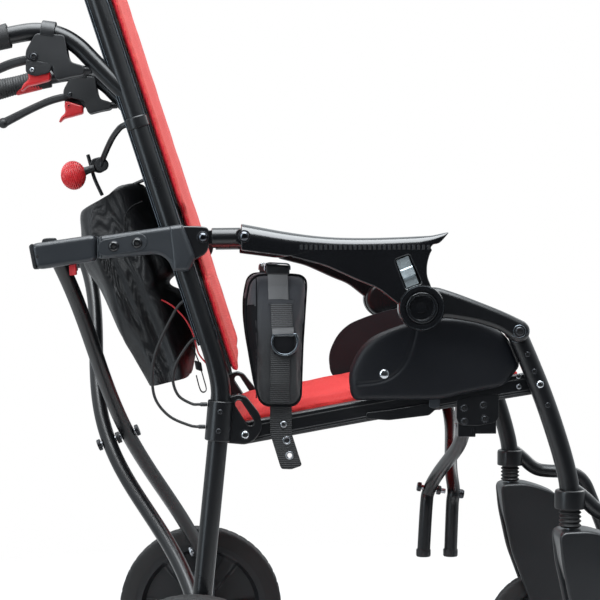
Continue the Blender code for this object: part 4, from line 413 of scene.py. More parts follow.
def coated(tree, v):
    # paint or moulded plastic: cloudy tone, uneven gloss and a fine grain
    vector = placed(tree)
    cloud = noiseOn(tree, vector, v["cloud"], 2)
    light = [min(1.0, channel * v["lift"]) for channel in v["colour"]]
    grain = {"Height": noiseOn(tree, vector, v["grain"], 2), "Distance": v["depth"], "Strength": 0.6}
    return {"Base Color": blended(tree, cloud, v["colour"], light),
            "Roughness": spread(tree, cloud, v["rough"] - v["patchy"], v["rough"] + v["patchy"]),
            "Normal": node(tree, "Bump", "Normal", grain)}


def woven(tree, v):
    # cloth: two crossing ridges of thread with a little slub, tone and wear in large patches
    vector = placed(tree, v.get("turn", (0, 0, 0)))
    ridges = [node(tree, "TexWave", "Fac", {"Scale": fullTurn / (20 * v["pitch"]), "Vector": vector},
                   bands_direction=direction) for direction in v.get("bands", "XZ")]
    weave = node(tree, "Math", "Value", {0: ridges[0], 1: ridges[1]}, operation="MAXIMUM")
    slub = noiseOn(tree, vector, v["slub"], 2)
    tone = blended(tree, spread(tree, noiseOn(tree, vector, v["cloud"], 4), 0, 1), v["colour"], v["worn"])
    if "fade" in v:
        # the colour darkens to its least share between two heights
        low, high, least = v["fade"]
        height = node(tree, "SeparateXYZ", "Z", {"Vector": node(tree, "TexCoord", "Object")})
        shade = blended(tree, spread(tree, height, 0.0, 1.0, low, high), (least,) * 3, (1, 1, 1))
        tone = blended(tree, 1.0, tone, shade, "MULTIPLY")
    dip = blended(tree, weave, (v["gap"],) * 3, (1, 1, 1))
    fine = node(tree, "Bump", "Normal", {"Height": weave, "Distance": v["depth"], "Strength": 0.8})
    coarse = {"Height": slub, "Distance": v["depth"], "Strength": 0.5, "Normal": fine}
    return {"Base Color": blended(tree, 1.0, tone, dip, "MULTIPLY"),
            "Roughness": spread(tree, slub, v["rough"] - 0.08, v["rough"] + 0.06),
            "Normal": node(tree, "Bump", "Normal", coarse)}


leaning = (0, math.radians(-18), 0)
paints = {
    "satinBlack": dict(colour=(0.005, 0.0056, 0.007), rough=0.3, cloud=9, grain=1500, lift=1.5, patchy=0.04,
                       depth=0.00008, slot="satin_black_frame"),
    "slateCast": dict(colour=(0.02, 0.0245, 0.0305), rough=0.4, cloud=14, grain=1700, lift=1.3, patchy=0.05,
                      depth=0.00016, slot="cast_grey"),
    "forkPlastic": dict(colour=(0.007, 0.008, 0.01), rough=0.42, cloud=12, grain=1500, lift=1.5, patchy=0.05,
                        depth=0.00016, slot="cast_grey"),
    "glossBlack": dict(colour=(0.004, 0.0046, 0.006), rough=0.22, cloud=11, grain=2200, lift=1.4, patchy=0.03,
                       depth=0.00004, slot="gloss_black",
                       sockets={"Coat Weight": 0.35, "Coat Roughness": 0.12}),
    "grainedPlastic": dict(colour=(0.008, 0.0088, 0.0105), rough=0.44, cloud=16, grain=1300, lift=1.6,
                           patchy=0.06, depth=0.00022, slot="black_plastic"),
    # painted shade: a near-black finish for the plugs, inlays and discs that stand in for the shade inside
    # screw sockets, the armrest's slots and the outrigger's hole
    "paintedRecessShade": dict(colour=(0.0016, 0.0017, 0.002), rough=0.8, cloud=16, grain=1300, lift=1.6,
                      patchy=0.06, depth=0.0001, slot="black_plastic"),
    "redPlastic": dict(colour=(0.74, 0.026, 0.034), rough=0.36, cloud=30, grain=1500, lift=1.12, patchy=0.05,
                       depth=0.0001, slot="red_plastic", sockets={"Subsurface Weight": 0.05}),
    "rubber": dict(colour=(0.0075, 0.0078, 0.0086), rough=0.62, cloud=22, grain=900, lift=1.7, patchy=0.08,
                   depth=0.0003, slot="black_rubber"),
    "tyre": dict(colour=(0.012, 0.012, 0.0126), rough=0.78, cloud=26, grain=700, lift=1.9, patchy=0.08,
                 depth=0.0004, slot="black_tyre"),
    "brushedAluminium": dict(colour=(0.46, 0.54, 0.58), rough=0.26, metal=0.6, cloud=60, grain=1800, lift=1.1,
                             patchy=0.06, depth=0.00008, slot="bare_aluminium"),
    "edgeLine": dict(colour=(0.1, 0.115, 0.13), rough=0.26, metal=0.9, cloud=40, grain=1500, lift=1.4,
                     patchy=0.05, depth=0.00006, slot="bare_aluminium"),
    "chrome": dict(colour=(0.5, 0.52, 0.55), rough=0.13, metal=1.0, cloud=80, grain=900, lift=1.15,
                   patchy=0.04,
                   depth=0.00004, slot="zinc_steel"),
    "zincSteel": dict(colour=(0.3, 0.31, 0.33), rough=0.32, metal=1.0, cloud=70, grain=1200, lift=1.3,
                      patchy=0.08, depth=0.00012, slot="zinc_steel"),
    "darkChrome": dict(colour=(0.075, 0.08, 0.09), rough=0.12, metal=1.0, cloud=70, grain=1100, lift=1.3,
                       patchy=0.04, depth=0.00004, slot="zinc_steel"),
    "darkSteel": dict(colour=(0.03, 0.032, 0.036), rough=0.26, metal=0.6, cloud=60, grain=1300, lift=1.5,
                      patchy=0.06, depth=0.0001, slot="zinc_steel"),
    "guardSkin": dict(colour=(0.0034, 0.0044, 0.0072), rough=0.5, cloud=10, grain=1100, lift=1.5, patchy=0.05,
                      depth=0.00018, slot="black_fabric", sockets={"Specular IOR Level": 0.32}),
}
cloths = {
    "coralMesh": dict(colour=(0.9, 0.105, 0.095), worn=(0.94, 0.14, 0.125), rough=0.8, pitch=0.0019, cloud=7,
                      slub=500, gap=0.74, depth=0.0005, turn=leaning, bands="YZ", slot="red_fabric",
                      sockets={"Sheen Weight": 0.1, "Specular IOR Level": 0.12}),
    "seatMesh": dict(colour=(0.78, 0.034, 0.036), worn=(0.86, 0.055, 0.052), rough=0.82, pitch=0.0019,
                     cloud=7,
                     slub=500, gap=0.72, depth=0.0005, bands="XY", slot="red_fabric",
                     sockets={"Sheen Weight": 0.08, "Specular IOR Level": 0.12}),
    "crimsonSide": dict(colour=(0.86, 0.03, 0.052), worn=(0.92, 0.046, 0.066), rough=0.8, pitch=0.0016,
                        cloud=9,
                        slub=600, gap=0.74, depth=0.0004, turn=leaning, slot="red_fabric",
                        sockets={"Specular IOR Level": 0.12}),
    "bagNylon": dict(colour=(0.0042, 0.0047, 0.0062), worn=(0.007, 0.0078, 0.01), rough=0.42, pitch=0.0009,
                     cloud=8, slub=900, gap=0.8, depth=0.0002, bands="YZ", slot="black_fabric"),
    "neoprene": dict(colour=(0.062, 0.068, 0.082), worn=(0.08, 0.087, 0.102), rough=0.86, pitch=0.0011,
                     cloud=14,
                     slub=700, gap=0.82, depth=0.0003, fade=(0.545, 0.628, 0.2), slot="grey_neoprene",
                     sockets={"Sheen Weight": 0.12, "Sheen Roughness": 0.6}),
    "padBlack": dict(colour=(0.008, 0.0088, 0.011), worn=(0.012, 0.013, 0.016), rough=0.9, pitch=0.0013,
                     cloud=14, slub=700, gap=0.75, depth=0.0003, slot="black_fabric",
                     sockets={"Specular IOR Level": 0.12}),
    "greyWebbing": dict(colour=(0.215, 0.224, 0.236), worn=(0.27, 0.28, 0.294), rough=0.7, pitch=0.0013,
                        cloud=20, slub=800, gap=0.66, depth=0.0004, turn=(0, math.radians(38), 0),
                        slot="grey_neoprene"),
    "ladderWebbing": dict(colour=(0.125, 0.13, 0.14), worn=(0.155, 0.161, 0.172), rough=0.7, pitch=0.0026,
                          cloud=20, slub=800, gap=0.16, depth=0.0009, bands="ZZ", slot="black_fabric"),
    "blackWebbing": dict(colour=(0.013, 0.0138, 0.0155), worn=(0.019, 0.02, 0.0225), rough=0.72,
                         pitch=0.0026, cloud=20, slub=800, gap=0.45, depth=0.0008, bands="ZZ",
                         slot="black_fabric"),
    "underlay": dict(colour=(0.0055, 0.006, 0.0072), worn=(0.009, 0.0096, 0.011), rough=0.92, pitch=0.0024,
                     cloud=40, slub=500, gap=0.55, depth=0.0008, slot="black_fabric"),
    "redCord": dict(colour=(0.6, 0.012, 0.022), worn=(0.7, 0.022, 0.032), rough=0.6, pitch=0.0012, cloud=40,
                    slub=900, gap=0.7, depth=0.0003, slot="red_fabric"),
}


def finishOf(name, v, pattern):
    material = bpy.data.materials.new(name)
    material.use_nodes = True
    tree = material.node_tree
    shader = tree.nodes["Principled BSDF"].inputs
    plain = {"Base Color": (*v["colour"], 1), "Roughness": v["rough"], "Metallic": v.get("metal", 0.0)}
    for label, value in {**plain, **v.get("sockets", {})}.items():
        shader[label].default_value = value
    for label, socket in pattern(tree, v).items():
        tree.links.new(socket, shader[label])
    return material


finishes = {name: finishOf(name, v, pattern) for table, pattern in ((paints, coated), (cloths, woven))
            for name, v in table.items()}
print("finishes made:", len(finishes))


# pieces

class Piece:
    # a piece in the making; its lanes count outwards from the middle plane, on its own side
    def __init__(self, side=1, tag=""):
        self.side, self.tag, self.shells = side, tag, []

    def add(self, finish, shell):
        self.shells.append((finish, shell))

    def slab(self, finish, outline, lane, bevel, corner=0, rounds=3, steps=6, holes=()):
        # an outline, with rounded corners where corner is given, filled between two lanes
        outline = roundedLoop(outline, corner, steps) if corner else outline
        self.add(finish, plate([outline, *holes], (self.side * lane[0], self.side * lane[1]), bevel, rounds))

    def spin(self, finish, profile, point, y, round=36, hexFrom=None, way=1):
        # (radius, height) pairs turned about an axis that points outwards, or inwards where way is -1
        centre = inLane(point, self.side * y)[0]
        self.add(finish, turned(profile, centre, (0, self.side * way, 0), round, hexFrom))

    def wire(self, finish, line, y, radius=0.0005, roll=0.0003, round=8):
        # a round wire along a line of the side plane
        self.add(finish, tube(inLane(line, self.side * y), radius, roll, round))

    def rod(self, finish, ends, radius, roll, round=20, across=(0, 1, 0), steps=4):
        self.add(finish, tube(np.linspace(*ends, steps), radius, roll, round, across))

    def pin(self, finish, point, lane, radius, roll, round=20):
        # a rod that runs across the lanes
        ends = spaced(np.array([point, point]), self.side * np.array(lane))
        self.rod(finish, ends, radius, roll, round, (1, 0, 0))

    def screw(self, point, y, radius, height, finish="darkSteel", washer=False, way=1):
        # a domed socket screw; the near-black plug in its socket is painted shade
        size = [radius, height]
        rise = np.array([[1.0, -0.3], [1.0, 0.3], [0.96, 0.55], [0.84, 0.82], [0.66, 0.97], [0.52, 1.0],
                         [0.47, 0.94], [0.45, 0.45], [0.1, 0.4]])
        self.spin(finish, rise * size, point, y, 36, 6, way)
        # painted shade: a near-black plug that fills the socket
        self.spin("paintedRecessShade", np.array([[0.47, 0.3], [0.465, 0.62], [0.2, 0.56]]) * size, point, y, 18, 0,
                  way)
        if washer:
            flat = np.array([[1.3, -0.3], [1.3, 0.1], [1.24, 0.16], [0.9, 0.16]])
            self.spin("darkSteel", flat * size, point, y)

    def dome(self, point, y, radius, height):
        # a smooth dome with a thin collar
        angle = np.radians(np.linspace(0, 86, 12))
        cap = np.column_stack([radius * np.cos(angle), 0.0002 + height * np.sin(angle)])
        self.spin("darkChrome", np.vstack([[radius, -0.0003], cap]), point, y, 40)
        collar = np.array([[1.24, -0.0003], [1.24, 0.0003], [1.18, 0.0006], [0.9, 0.0006]])
        self.spin("darkSteel", collar * [radius, 1], point, y)

    def hoop(self, finish, profile, point, y):
        # a closed ring; profile is pairs (radius, height over the lane)
        turn = np.radians(np.linspace(0, 360, 72, endpoint=False))
        out = np.stack([np.cos(turn), np.zeros(72), np.sin(turn)], axis=-1)
        profile = np.asarray(profile)[None]
        grid = profile[..., :1] * out[:, None] + profile[..., 1:] * np.array([0, self.side, 0.0])
        self.add(finish, ringShell(inLane(point, self.side * y)[0] + grid, closed=True))

    def bead(self, finish, loop, y, radius):
        # a round bead along a closed outline
        circle = arc((0, 0), radius, 0, 324, 10)
        self.add(finish, sweep(inLane(loop, self.side * y), circle, closed=True))

    def make(self, name, body, stands=(), also=(), sharp=42, level=True):
        # the shells in one mesh with a material for each finish, riding on the body in place of its CAD nodes
        name += self.tag.title()
        used = list(dict.fromkeys(finish for finish, _ in self.shells))
        tint = np.concatenate([np.full(len(shell[2]), used.index(finish)) for finish, shell in self.shells])
        mesh = bpy.data.meshes.new(name)
        fillMesh(mesh, *joined([shell for _, shell in self.shells]))
        mesh.polygons.foreach_set("material_index", tint)
        mesh.validate()
        throughCage(mesh, lambda cage: bmesh.ops.recalc_face_normals(cage, faces=cage.faces))
        mesh.shade_smooth()
        mesh.set_sharp_from_angle(angle=math.radians(sharp))
        for finish in used:
            mesh.materials.append(finishes[finish])
        item = bpy.data.objects.new(name, mesh)
        bpy.context.scene.collection.objects.link(item)
        if level:
            item.modifiers.new("even normals", "WEIGHTED_NORMAL").keep_sharp = True
        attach(item, body + self.tag)
        if stands:
            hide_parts(*(node + self.tag for node in stands), *also)
        return item


frameTube = dict(
    top=(-0.1793, 1.115), knee=(0.0065, 0.545), radius=0.0125,
    leg=[(-0.1793, 1.115), (0.0065, 0.545), (0.012, 0.524), (0.0156, 0.505), (0.016, 0.486), (0.0142, 0.462),
         (0.0116, 0.4325), (0.0038, 0.355), (-0.016, 0.158)],
    plug=[(0.0119, -0.002), (0.0125, 0.0006), (0.0118, 0.0022), (0.008, 0.0032), (0.001, 0.0034)],
    beadSpan=(0.56, 1.108), beads=((0.0114, 0.006, 0.0009), (-0.0116, 0.0056, 0.0008),
                                   (-0.0142, 0.003, 0.001)),
    track=-0.0128, trackProfile=[(-0.0034, -0.0018), (0.0034, -0.0018), (0.0034, 0.002), (-0.0034, 0.002)],
)
crossing = dict(
    bottom=(-0.02, 0.23), top=(-0.186, 0.653), bottomY=0.176, topY=0.172, radius=0.01,
    boltReach=0.2138, bowFront=-0.0176, bowRear=-0.0456, lugGap=0.0018, lugThick=0.006, web=0.0056,
    ear=[(0.0098, 0), (0.011, 0.001), (0.011, 0.005), (0.0098, 0.006)],
    pinRadius=0.004, pinStart=-0.0125, pinOver=0.003, headStart=-0.0118,
    head=[(0.0072, 0), (0.0072, 0.002), (0.0064, 0.003), (0.003, 0.0034), (0.0028, 0.002)],
    disc=[(0.0074, 0), (0.008, 0.0006), (0.008, 0.0044), (0.007, 0.005), (0.0034, 0.005)],
    discGap=0.0014, boltOver=0.004, spacer=0.008,
)
crossLength = float(np.linalg.norm(np.subtract(crossing["top"], crossing["bottom"])))


def backTube(height, offset=0.0):
    # centre line of the straight back tube, moved square to it by offset
    knee, top = np.array(frameTube["knee"]), np.array(frameTube["top"])
    rise = unit(top - knee)
    height = np.asarray(height, float)
    share = (height - knee[1]) / (top[1] - knee[1])
    return np.stack([knee[0] + share * (top[0] - knee[0]) + offset * rise[1], height - offset * rise[0]],
                    axis=-1)


def crossPoint(reach, y, forward):
    # a point on the plane of the cross tubes: reach up it, y sideways and forward square to it
    bottom, top = np.array(crossing["bottom"]), np.array(crossing["top"])
    up = unit(top - bottom)
    reach, y, forward = np.broadcast_arrays(np.asarray(reach, float), y, forward)
    x = bottom[0] + up[0] * reach + up[1] * forward
    z = bottom[1] + up[1] * reach - up[0] * forward
    return np.stack([x - datumShift, y, z], axis=-1)


crossFront = crossPoint(0, 0, 1.0) - crossPoint(0, 0, 0.0)


def crossEar(p, reach, y, webReach, webY, round):
    # the ear that holds one end of a cross tube, and the web from it to the frame
    near = crossing["radius"] + crossing["lugGap"]
    far = near + crossing["lugThick"]
    p.add("satinBlack", turned(crossing["ear"], crossPoint(reach, p.side * y, near), crossFront, round))
    web = crossPoint(reach, p.side * y, far), crossPoint(webReach, p.side * webY, far)
    p.rod("satinBlack", web, crossing["web"], 0.0005, across=(0, 0, 1))
    return near


def frameTubes(p):
    # one bent tube a side: backrest post above, rear leg below, with a bead on each edge for the back cover
    v, c = frameTube, crossing
    leg = roundedRoute(inLane(v["leg"], p.side * sidePlane), 0.06, 9)
    p.add("satinBlack", tube(leg, v["radius"], 0.0015, 48))
    p.add("grainedPlastic", turned(v["plug"], leg[0], unit(leg[0] - leg[1]), 40))
    height = np.linspace(*v["beadSpan"], 12)
    for offset, apart, thick in v["beads"]:
        for way in (-1, 1):
            p.wire("edgeLine", backTube(height, offset), sidePlane + way * apart, thick, 0.0005, 12)
    p.add("satinBlack", sweep(inLane(backTube(height, v["track"]), p.side * sidePlane), v["trackProfile"]))
    foot = p.side * c["bottomY"]
    near = crossEar(p, 0, c["bottomY"], 0, sidePlane, 40)
    pin = crossPoint(0, foot, c["pinStart"]), crossPoint(0, foot, near + c["pinOver"])
    p.rod("zincSteel", pin, c["pinRadius"], 0.0006)
    p.add("zincSteel", turned(c["head"], crossPoint(0, foot, c["headStart"]), -crossFront, 32, 3))
    p.make("frameTube", "rear_frame_", ["rear_frame_"])


seatPlateValues = dict(
    outline=[(0.0125, 0.4863), (0.0318, 0.4931), (0.0381, 0.4948), (0.0475, 0.4915), (0.0533, 0.4838),
             (0.065, 0.4693), (0.0675, 0.45), (0.0573, 0.4365), (0.0475, 0.4313), (0.0125, 0.4345)],
    lane=(0.2025, 0.2185), slot=((0.0381, 0.4825), (0.0525, 0.46)), slotRadius=0.0055, slotRim=0.0009,
    sleeve=((0.016, 0.4868), (0.0117, 0.4365)), sleeveRadius=0.0165, pivot=(0.0461, 0.4441),
    sleeveScrews=(0.4738, 0.45), sleeveLean=0.0855,
)


def seatPlate(p):
    # the plate that joins the seat rail to the back tube, with its sleeve and see-through slot
    v = seatPlateValues
    far, foot = v["lane"][1], v["sleeve"][1]
    hole = capsule(*v["slot"], v["slotRadius"])
    p.slab("satinBlack", v["outline"], v["lane"], 0.0016, 0.006, holes=[hole])
    p.rod("satinBlack", inLane(v["sleeve"][::-1], p.side * sidePlane), v["sleeveRadius"], 0.0018, 48, steps=6)
    p.bead("satinBlack", resampled(hole, 60, True), far - 0.0003, v["slotRim"])
    p.screw(v["pivot"], far + 0.0002, 0.0052, 0.003, "chrome", True)
    for height in v["sleeveScrews"]:
        point = (foot[0] + (height - foot[1]) * v["sleeveLean"], height)
        p.screw(point, sidePlane + v["sleeveRadius"] - 0.0004, 0.0034, 0.0016)
    p.make("seatPlate", "rear_frame_", ["seat_plate_"])


axleValues = dict(
    outline=[(-0.037, 0.185), (0.003, 0.185), (0.002, 0.115), (-0.008, 0.102), (-0.03, 0.102),
             (-0.04, 0.115)],
    lane=(0.1985, 0.233), axle=(-0.0193, 0.125), axleLane=(0.224, 0.2728), axleRadius=0.006,
    boss=[(0.015, 0), (0.0148, 0.0052), (0.0122, 0.007), (0.012, 0.0077)], bossLane=0.229,
    screws=[(-0.0165, 0.172), (-0.0165, 0.15)],
)


def axleBlock(p):
    v = axleValues
    p.slab("slateCast", v["outline"], v["lane"], 0.0035, 0.009)
    p.spin("slateCast", v["boss"], v["axle"], v["bossLane"], 40)
    p.pin("zincSteel", v["axle"], v["axleLane"], v["axleRadius"], 0.0008, 24)
    for point in v["screws"]:
        p.screw(point, v["lane"][1] + 0.0001, 0.0042, 0.0022, washer=True)
    p.make("axleBlock", "rear_frame_", ["axle_block_"])


def addWheel(p, v, axle):
    # tyre: a rounded section whose tread is cut by V grooves; rim and spokes: a dished disc between two faces
    radius, halfWidth, bore = v["radius"], v["halfWidth"], v["bore"]
    centre = inLane(axle, p.side * v["lane"])[0]
    depth = 0.19 * radius

    def rings(reach, width, turn):
        # circles of radius reach about the axle, set off sideways by width
        return centre + np.stack(np.broadcast_arrays(reach * np.cos(turn), width, reach * np.sin(turn)),
                                 axis=-1)

    turn = np.linspace(0, fullTurn, 16 * v["tread"], endpoint=False)
    lean = np.linspace(-1, 1, 42)[:, None]
    away = np.abs(lean)
    crown = radius - depth * (1 - np.clip(1 - away ** 3.2, 0, 1) ** 0.5)
    width = halfWidth * np.sign(lean) * (1 - (1 - away) ** 1.6) ** 0.5
    flute = np.mod(turn * v["tread"] / fullTurn + away * 0.9, 1.0)
    groove = v["groove"] * np.exp(-((flute - 0.5) / 0.13) ** 2) * np.clip(1.15 - away * 1.25, 0, 1)
    middle = v["midGroove"] * np.exp(-(lean / 0.05) ** 2)
    well = radius - depth - np.array([[0], [0.001], [0]])
    edge = halfWidth * 0.97 * np.array([[1], [0], [-1]])
    p.add("tyre", ringShell(np.concatenate([rings(crown - groove - middle, width, turn),
                                            rings(well, edge, turn)]), closed=True))
    turn = np.linspace(0, fullTurn, 240, endpoint=False)
    share = np.linspace(0, 1, 30)[:, None]
    rim = radius - depth + 0.0006
    reach = bore + (rim - bore) * share
    arm = np.clip((np.cos(v["spokes"] * turn) - 0.15 - 0.35 * share) * 3.0, 0, 1)
    dish = np.clip(np.minimum(reach - v["hub"], rim * 0.9 - reach) / 0.006, 0, 1)
    half = halfWidth * (0.94 * (1 - dish) + dish * (0.3 + 0.38 * arm))
    p.add("grainedPlastic", ringShell(np.concatenate([rings(reach, half, turn),
                                                      rings(reach, -half, turn)[::-1]]), closed=True))


rearWheelValues = dict(
    lane=0.256, radius=0.125, halfWidth=0.019, hub=0.022, bore=0.0066, spokes=6, tread=48, groove=0.0011,
    midGroove=0.0012, cap=[(0.015, -0.002), (0.015, 0.0002), (0.0138, 0.0009), (0.005, 0.0011)],
    capLane=0.2736,
)


def rearWheel(p):
    v = rearWheelValues
    addWheel(p, v, axleValues["axle"])
    p.spin("zincSteel", v["cap"], axleValues["axle"], v["capLane"])
    p.make("rearWheel", "rear_wheel_", ["rear_wheel_"], level=False)


casterValues = dict(
    axisX=0.457, axle=(0.515, 0.092), lane=sidePlane, radius=0.092, halfWidth=0.016, hub=0.016, bore=0.0045,
    spokes=5, tread=40, groove=0.0011, midGroove=0.0012, bladeLane=(0.019, 0.027), crownHalf=0.0268,
    axleHalf=0.0258, axleRadius=0.004, nut=[(0.0078, 0), (0.0078, 0.001), (0.007, 0.0018), (0.002, 0.002)],
    blade=[(0.438, 0.322), (0.478, 0.3236), (0.507, 0.315), (0.527, 0.306), (0.538, 0.293),
           (0.542, 0.27), (0.541, 0.22), (0.536, 0.15), (0.531, 0.095), (0.523, 0.08),
           (0.515, 0.076), (0.506, 0.079), (0.499, 0.09), (0.481, 0.15), (0.455, 0.22),
           (0.442, 0.28)],
    crown=[(0.4382, 0.3216), (0.4775, 0.3236), (0.507, 0.3148), (0.527, 0.3056), (0.5375, 0.2926),
           (0.5405, 0.27), (0.517, 0.256), (0.454, 0.2505), (0.445, 0.28)],
    sleeveSpan=(0.3246, 0.352), sleeveRings=5, sleeveRadius=0.01295, sleeveRib=0.00115,
    stem=[(0.006, -0.024), (0.006, 0.0002)], springKeep=0.55,
)


def casterWheel(p):
    addWheel(p, casterValues, casterValues["axle"])
    p.make("casterWheel", "caster_wheel_", ["caster_wheel_"], level=False)


def casterFork(p):
    # a crown over the wheel with a blade on each side and the axle between them
    v = casterValues
    inner, outer = v["bladeLane"]
    for way in (-1, 1):
        p.slab("forkPlastic", v["blade"], (sidePlane + way * inner, sidePlane + way * outer), 0.0034, 0.012,
               4)
        p.spin("zincSteel", v["nut"], v["axle"], sidePlane + way * (outer - 0.0012), 36, 0, way)
    p.slab("forkPlastic", v["crown"], (sidePlane - v["crownHalf"], sidePlane + v["crownHalf"]), 0.0085,
           0.01, 7)
    p.pin("zincSteel", v["axle"], (sidePlane - v["axleHalf"], sidePlane + v["axleHalf"]), v["axleRadius"],
          0.0006)
    p.make("casterFork", "caster_fork_", ["caster_fork_"])


def casterPost(p):
    # the ribbed sleeve over the swivel: radius = middle radius - rib * cos of the height over the pitch
    v = casterValues
    bottom, top = v["sleeveSpan"]
    height = np.linspace(0, top - bottom, 61)
    ribs = np.cos(fullTurn * height / (top - bottom) * v["sleeveRings"])
    centre = inLane((v["axisX"], bottom), p.side * sidePlane)[0]
    profile = np.column_stack([v["sleeveRadius"] - v["sleeveRib"] * ribs, height])
    p.add("rubber", turned(profile, centre, (0, 0, 1), 40))
    p.add("zincSteel", turned(v["stem"], centre, (0, 0, 1), 24))
    piece = p.make("ribbedSleeve", "caster_post_", ["caster_post_"], level=False)
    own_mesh(piece)


legValues = dict(
    radius=0.0125, pivot=(0.3866, 0.574), railPivot=(0.4158, 0.5066),
    route=[(0.3866, 0.574), (0.4, 0.5444), (0.4158, 0.5066), (0.426, 0.48), (0.4363, 0.45),
           (0.447, 0.416), (0.455, 0.384), (0.457, 0.364)],
    crown=[(0.0119, -0.0116), (0.0131, -0.0104), (0.0131, 0.0112), (0.0117, 0.0124)],
    collar=[(0.016, 0.0004), (0.0188, 0.0), (0.0195, 0.001), (0.0195, 0.0195), (0.0187, 0.0226),
            (0.0166, 0.0237), (0.014, 0.0228), (0.0128, 0.0205)], collarFoot=(0.457, 0.3488),
    hanger=[(0.456, 0.375), (0.474, 0.362), (0.488, 0.348), (0.5, 0.341), (0.515, 0.339),
            (0.545, 0.338), (0.562, 0.333), (0.574, 0.32), (0.595, 0.268), (0.613, 0.22)],
    hangerRadius=0.01, footPivot=(0.624, 0.202), knuckle=0.0083, knuckleLane=(0.2022, 0.2288),
    footPin=(0.1077, 0.228), screws=[(0.4, 0.5444), (0.4086, 0.5229), (0.4258, 0.4804)],
    neck=[(0.396, 0.564), (0.388, 0.559), (0.38, 0.561)],
)


def frontLeg(p):
    # the front leg with its collar, the footrest hanger and the knuckle at its foot
    v = legValues
    y, face = p.side * sidePlane, sidePlane + v["radius"]
    p.add("satinBlack", tube(roundedRoute(inLane(v["route"], y), 0.05, 7), v["radius"], 0.0012, 44))
    p.spin("satinBlack", v["crown"], v["pivot"], sidePlane, 40)
    p.add("satinBlack", turned(v["collar"], inLane(v["collarFoot"], y)[0], (0, 0, 1), 44))
    p.add("satinBlack", tube(roundedRoute(inLane(v["hanger"], y), 0.03, 6), v["hangerRadius"], 0.001, 36))
    p.slab("grainedPlastic", capsule(v["hanger"][-1], v["footPivot"], v["knuckle"]), v["knuckleLane"], 0.0016)
    p.pin("zincSteel", v["footPivot"], v["footPin"], 0.0034, 0.0006, 18)
    for point in v["screws"]:
        p.screw(point, face - 0.0007, 0.0034, 0.0012)
    p.screw(v["railPivot"], face - 0.0004, 0.0048, 0.0026, "chrome", True)
    p.wire("edgeLine", roundedRoute(v["neck"], 0.004, 6), face - 0.0012)
    p.screw(v["footPivot"], v["knuckleLane"][1], 0.0045, 0.0022, washer=True)
    p.make("frontLeg", "front_leg_", ["front_leg_"])


footValues = dict(
    reach=(0.002, 0.0245, 0.1076), lanes=(0.106, 0.201, 0.2286), half=0.0039, barrel=(0.1058, 0.2014),
    barrelRadius=0.0085, ribs=11, firstRib=0.03, ribPitch=0.0068, ribLane=(0.118, 0.217), ribHeight=0.0036,
    ribRadius=0.0012,
)


def footPlate(p):
    # a thin board with rounded corners and grip ribs on top, notched beside the knuckle
    v = footValues
    x, z = legValues["footPivot"]
    rear, notch, front = x + np.array(v["reach"])
    inner, step, outer = p.side * np.array(v["lanes"])
    outline = [(rear, inner), (front, inner), (front, outer), (notch, outer), (notch, step), (rear, step)]
    flat, corners, sizes = plate([roundedLoop(outline, 0.006)], (-v["half"], v["half"]), 0.0018)
    p.add("glossBlack", (np.column_stack([flat[:, 0], flat[:, 2], z + flat[:, 1]]), corners, sizes))
    p.pin("glossBlack", (x, z), v["barrel"], v["barrelRadius"], 0.0012, 36)
    for place in x + v["firstRib"] + np.arange(v["ribs"]) * v["ribPitch"]:
        rib = spaced(np.array([(place, z + v["ribHeight"])] * 2), p.side * np.array(v["ribLane"]))
        p.rod("rubber", rib, v["ribRadius"], 0.0006, 10, (0, 0, 1), 3)
    p.make("footBoard", "footplate_", ["footplate_"])


# armrests

armValues = dict(
    pivot=(-0.0063, 0.6908), front=(0.0448, 0.6915), hub=(0.262, 0.6038),
    tubeStart=(0.0045, 0.691), tubeRadius=0.0115, tongue=(0.007, 0.691), tongueHalf=0.0088,
    tongueLane=(0.2101, 0.2199), eye=[(0.0103, -0.0112), (0.0115, -0.01), (0.0115, 0.01), (0.0103, 0.0112)],
    top=[(0.0409, 0.7071), (0.0988, 0.6963), (0.1436, 0.6904), (0.1883, 0.6893), (0.2329, 0.6904),
         (0.2775, 0.6926), (0.29, 0.6953), (0.295, 0.6966)],
    floor=[(0.0383, 0.675), (0.0988, 0.6672), (0.112, 0.669), (0.126, 0.6738), (0.14, 0.6745),
           (0.2735, 0.6747), (0.2748, 0.6815), (0.2838, 0.6825), (0.289, 0.6878), (0.295, 0.695)],
    web=[(0.0985, 0.6672), (0.106, 0.679), (0.2739, 0.68), (0.2739, 0.677), (0.2755, 0.6747),
         (0.273, 0.6705), (0.2706, 0.663), (0.269, 0.654), (0.2694, 0.642), (0.2733, 0.6332),
         (0.279, 0.612), (0.27, 0.596), (0.25, 0.596), (0.2341, 0.6077), (0.2094, 0.6275),
         (0.1838, 0.6375), (0.1659, 0.6458), (0.1436, 0.6558), (0.1213, 0.6614)],
    rear=0.0575, outer=0.261, split=0.2508, webLane=0.2446, inner=0.2072, cheek=0.2271,
    crown=((0.043, 0.0165), (0.1, 0.015), (0.14, 0.0125), (0.26, 0.0115), (0.275, 0.0082),
           (0.29, 0.0045), (0.295, 0.001)),
    lug=[(0.0266, -0.0162), (0.0282, -0.0146), (0.0282, -0.0016), (0.0266, -0.0002), (0.024, 0.0)],
    slotRow=(0.115, 0.271), slotZ=0.6781, slotCount=27, slotHalf=0.002, slotRadius=0.0013, ribBack=0.0018,
    ribHalf=0.003, ribRadius=0.0003, frontPin=(0.2062, 0.23), pinRadius=0.0035,
)
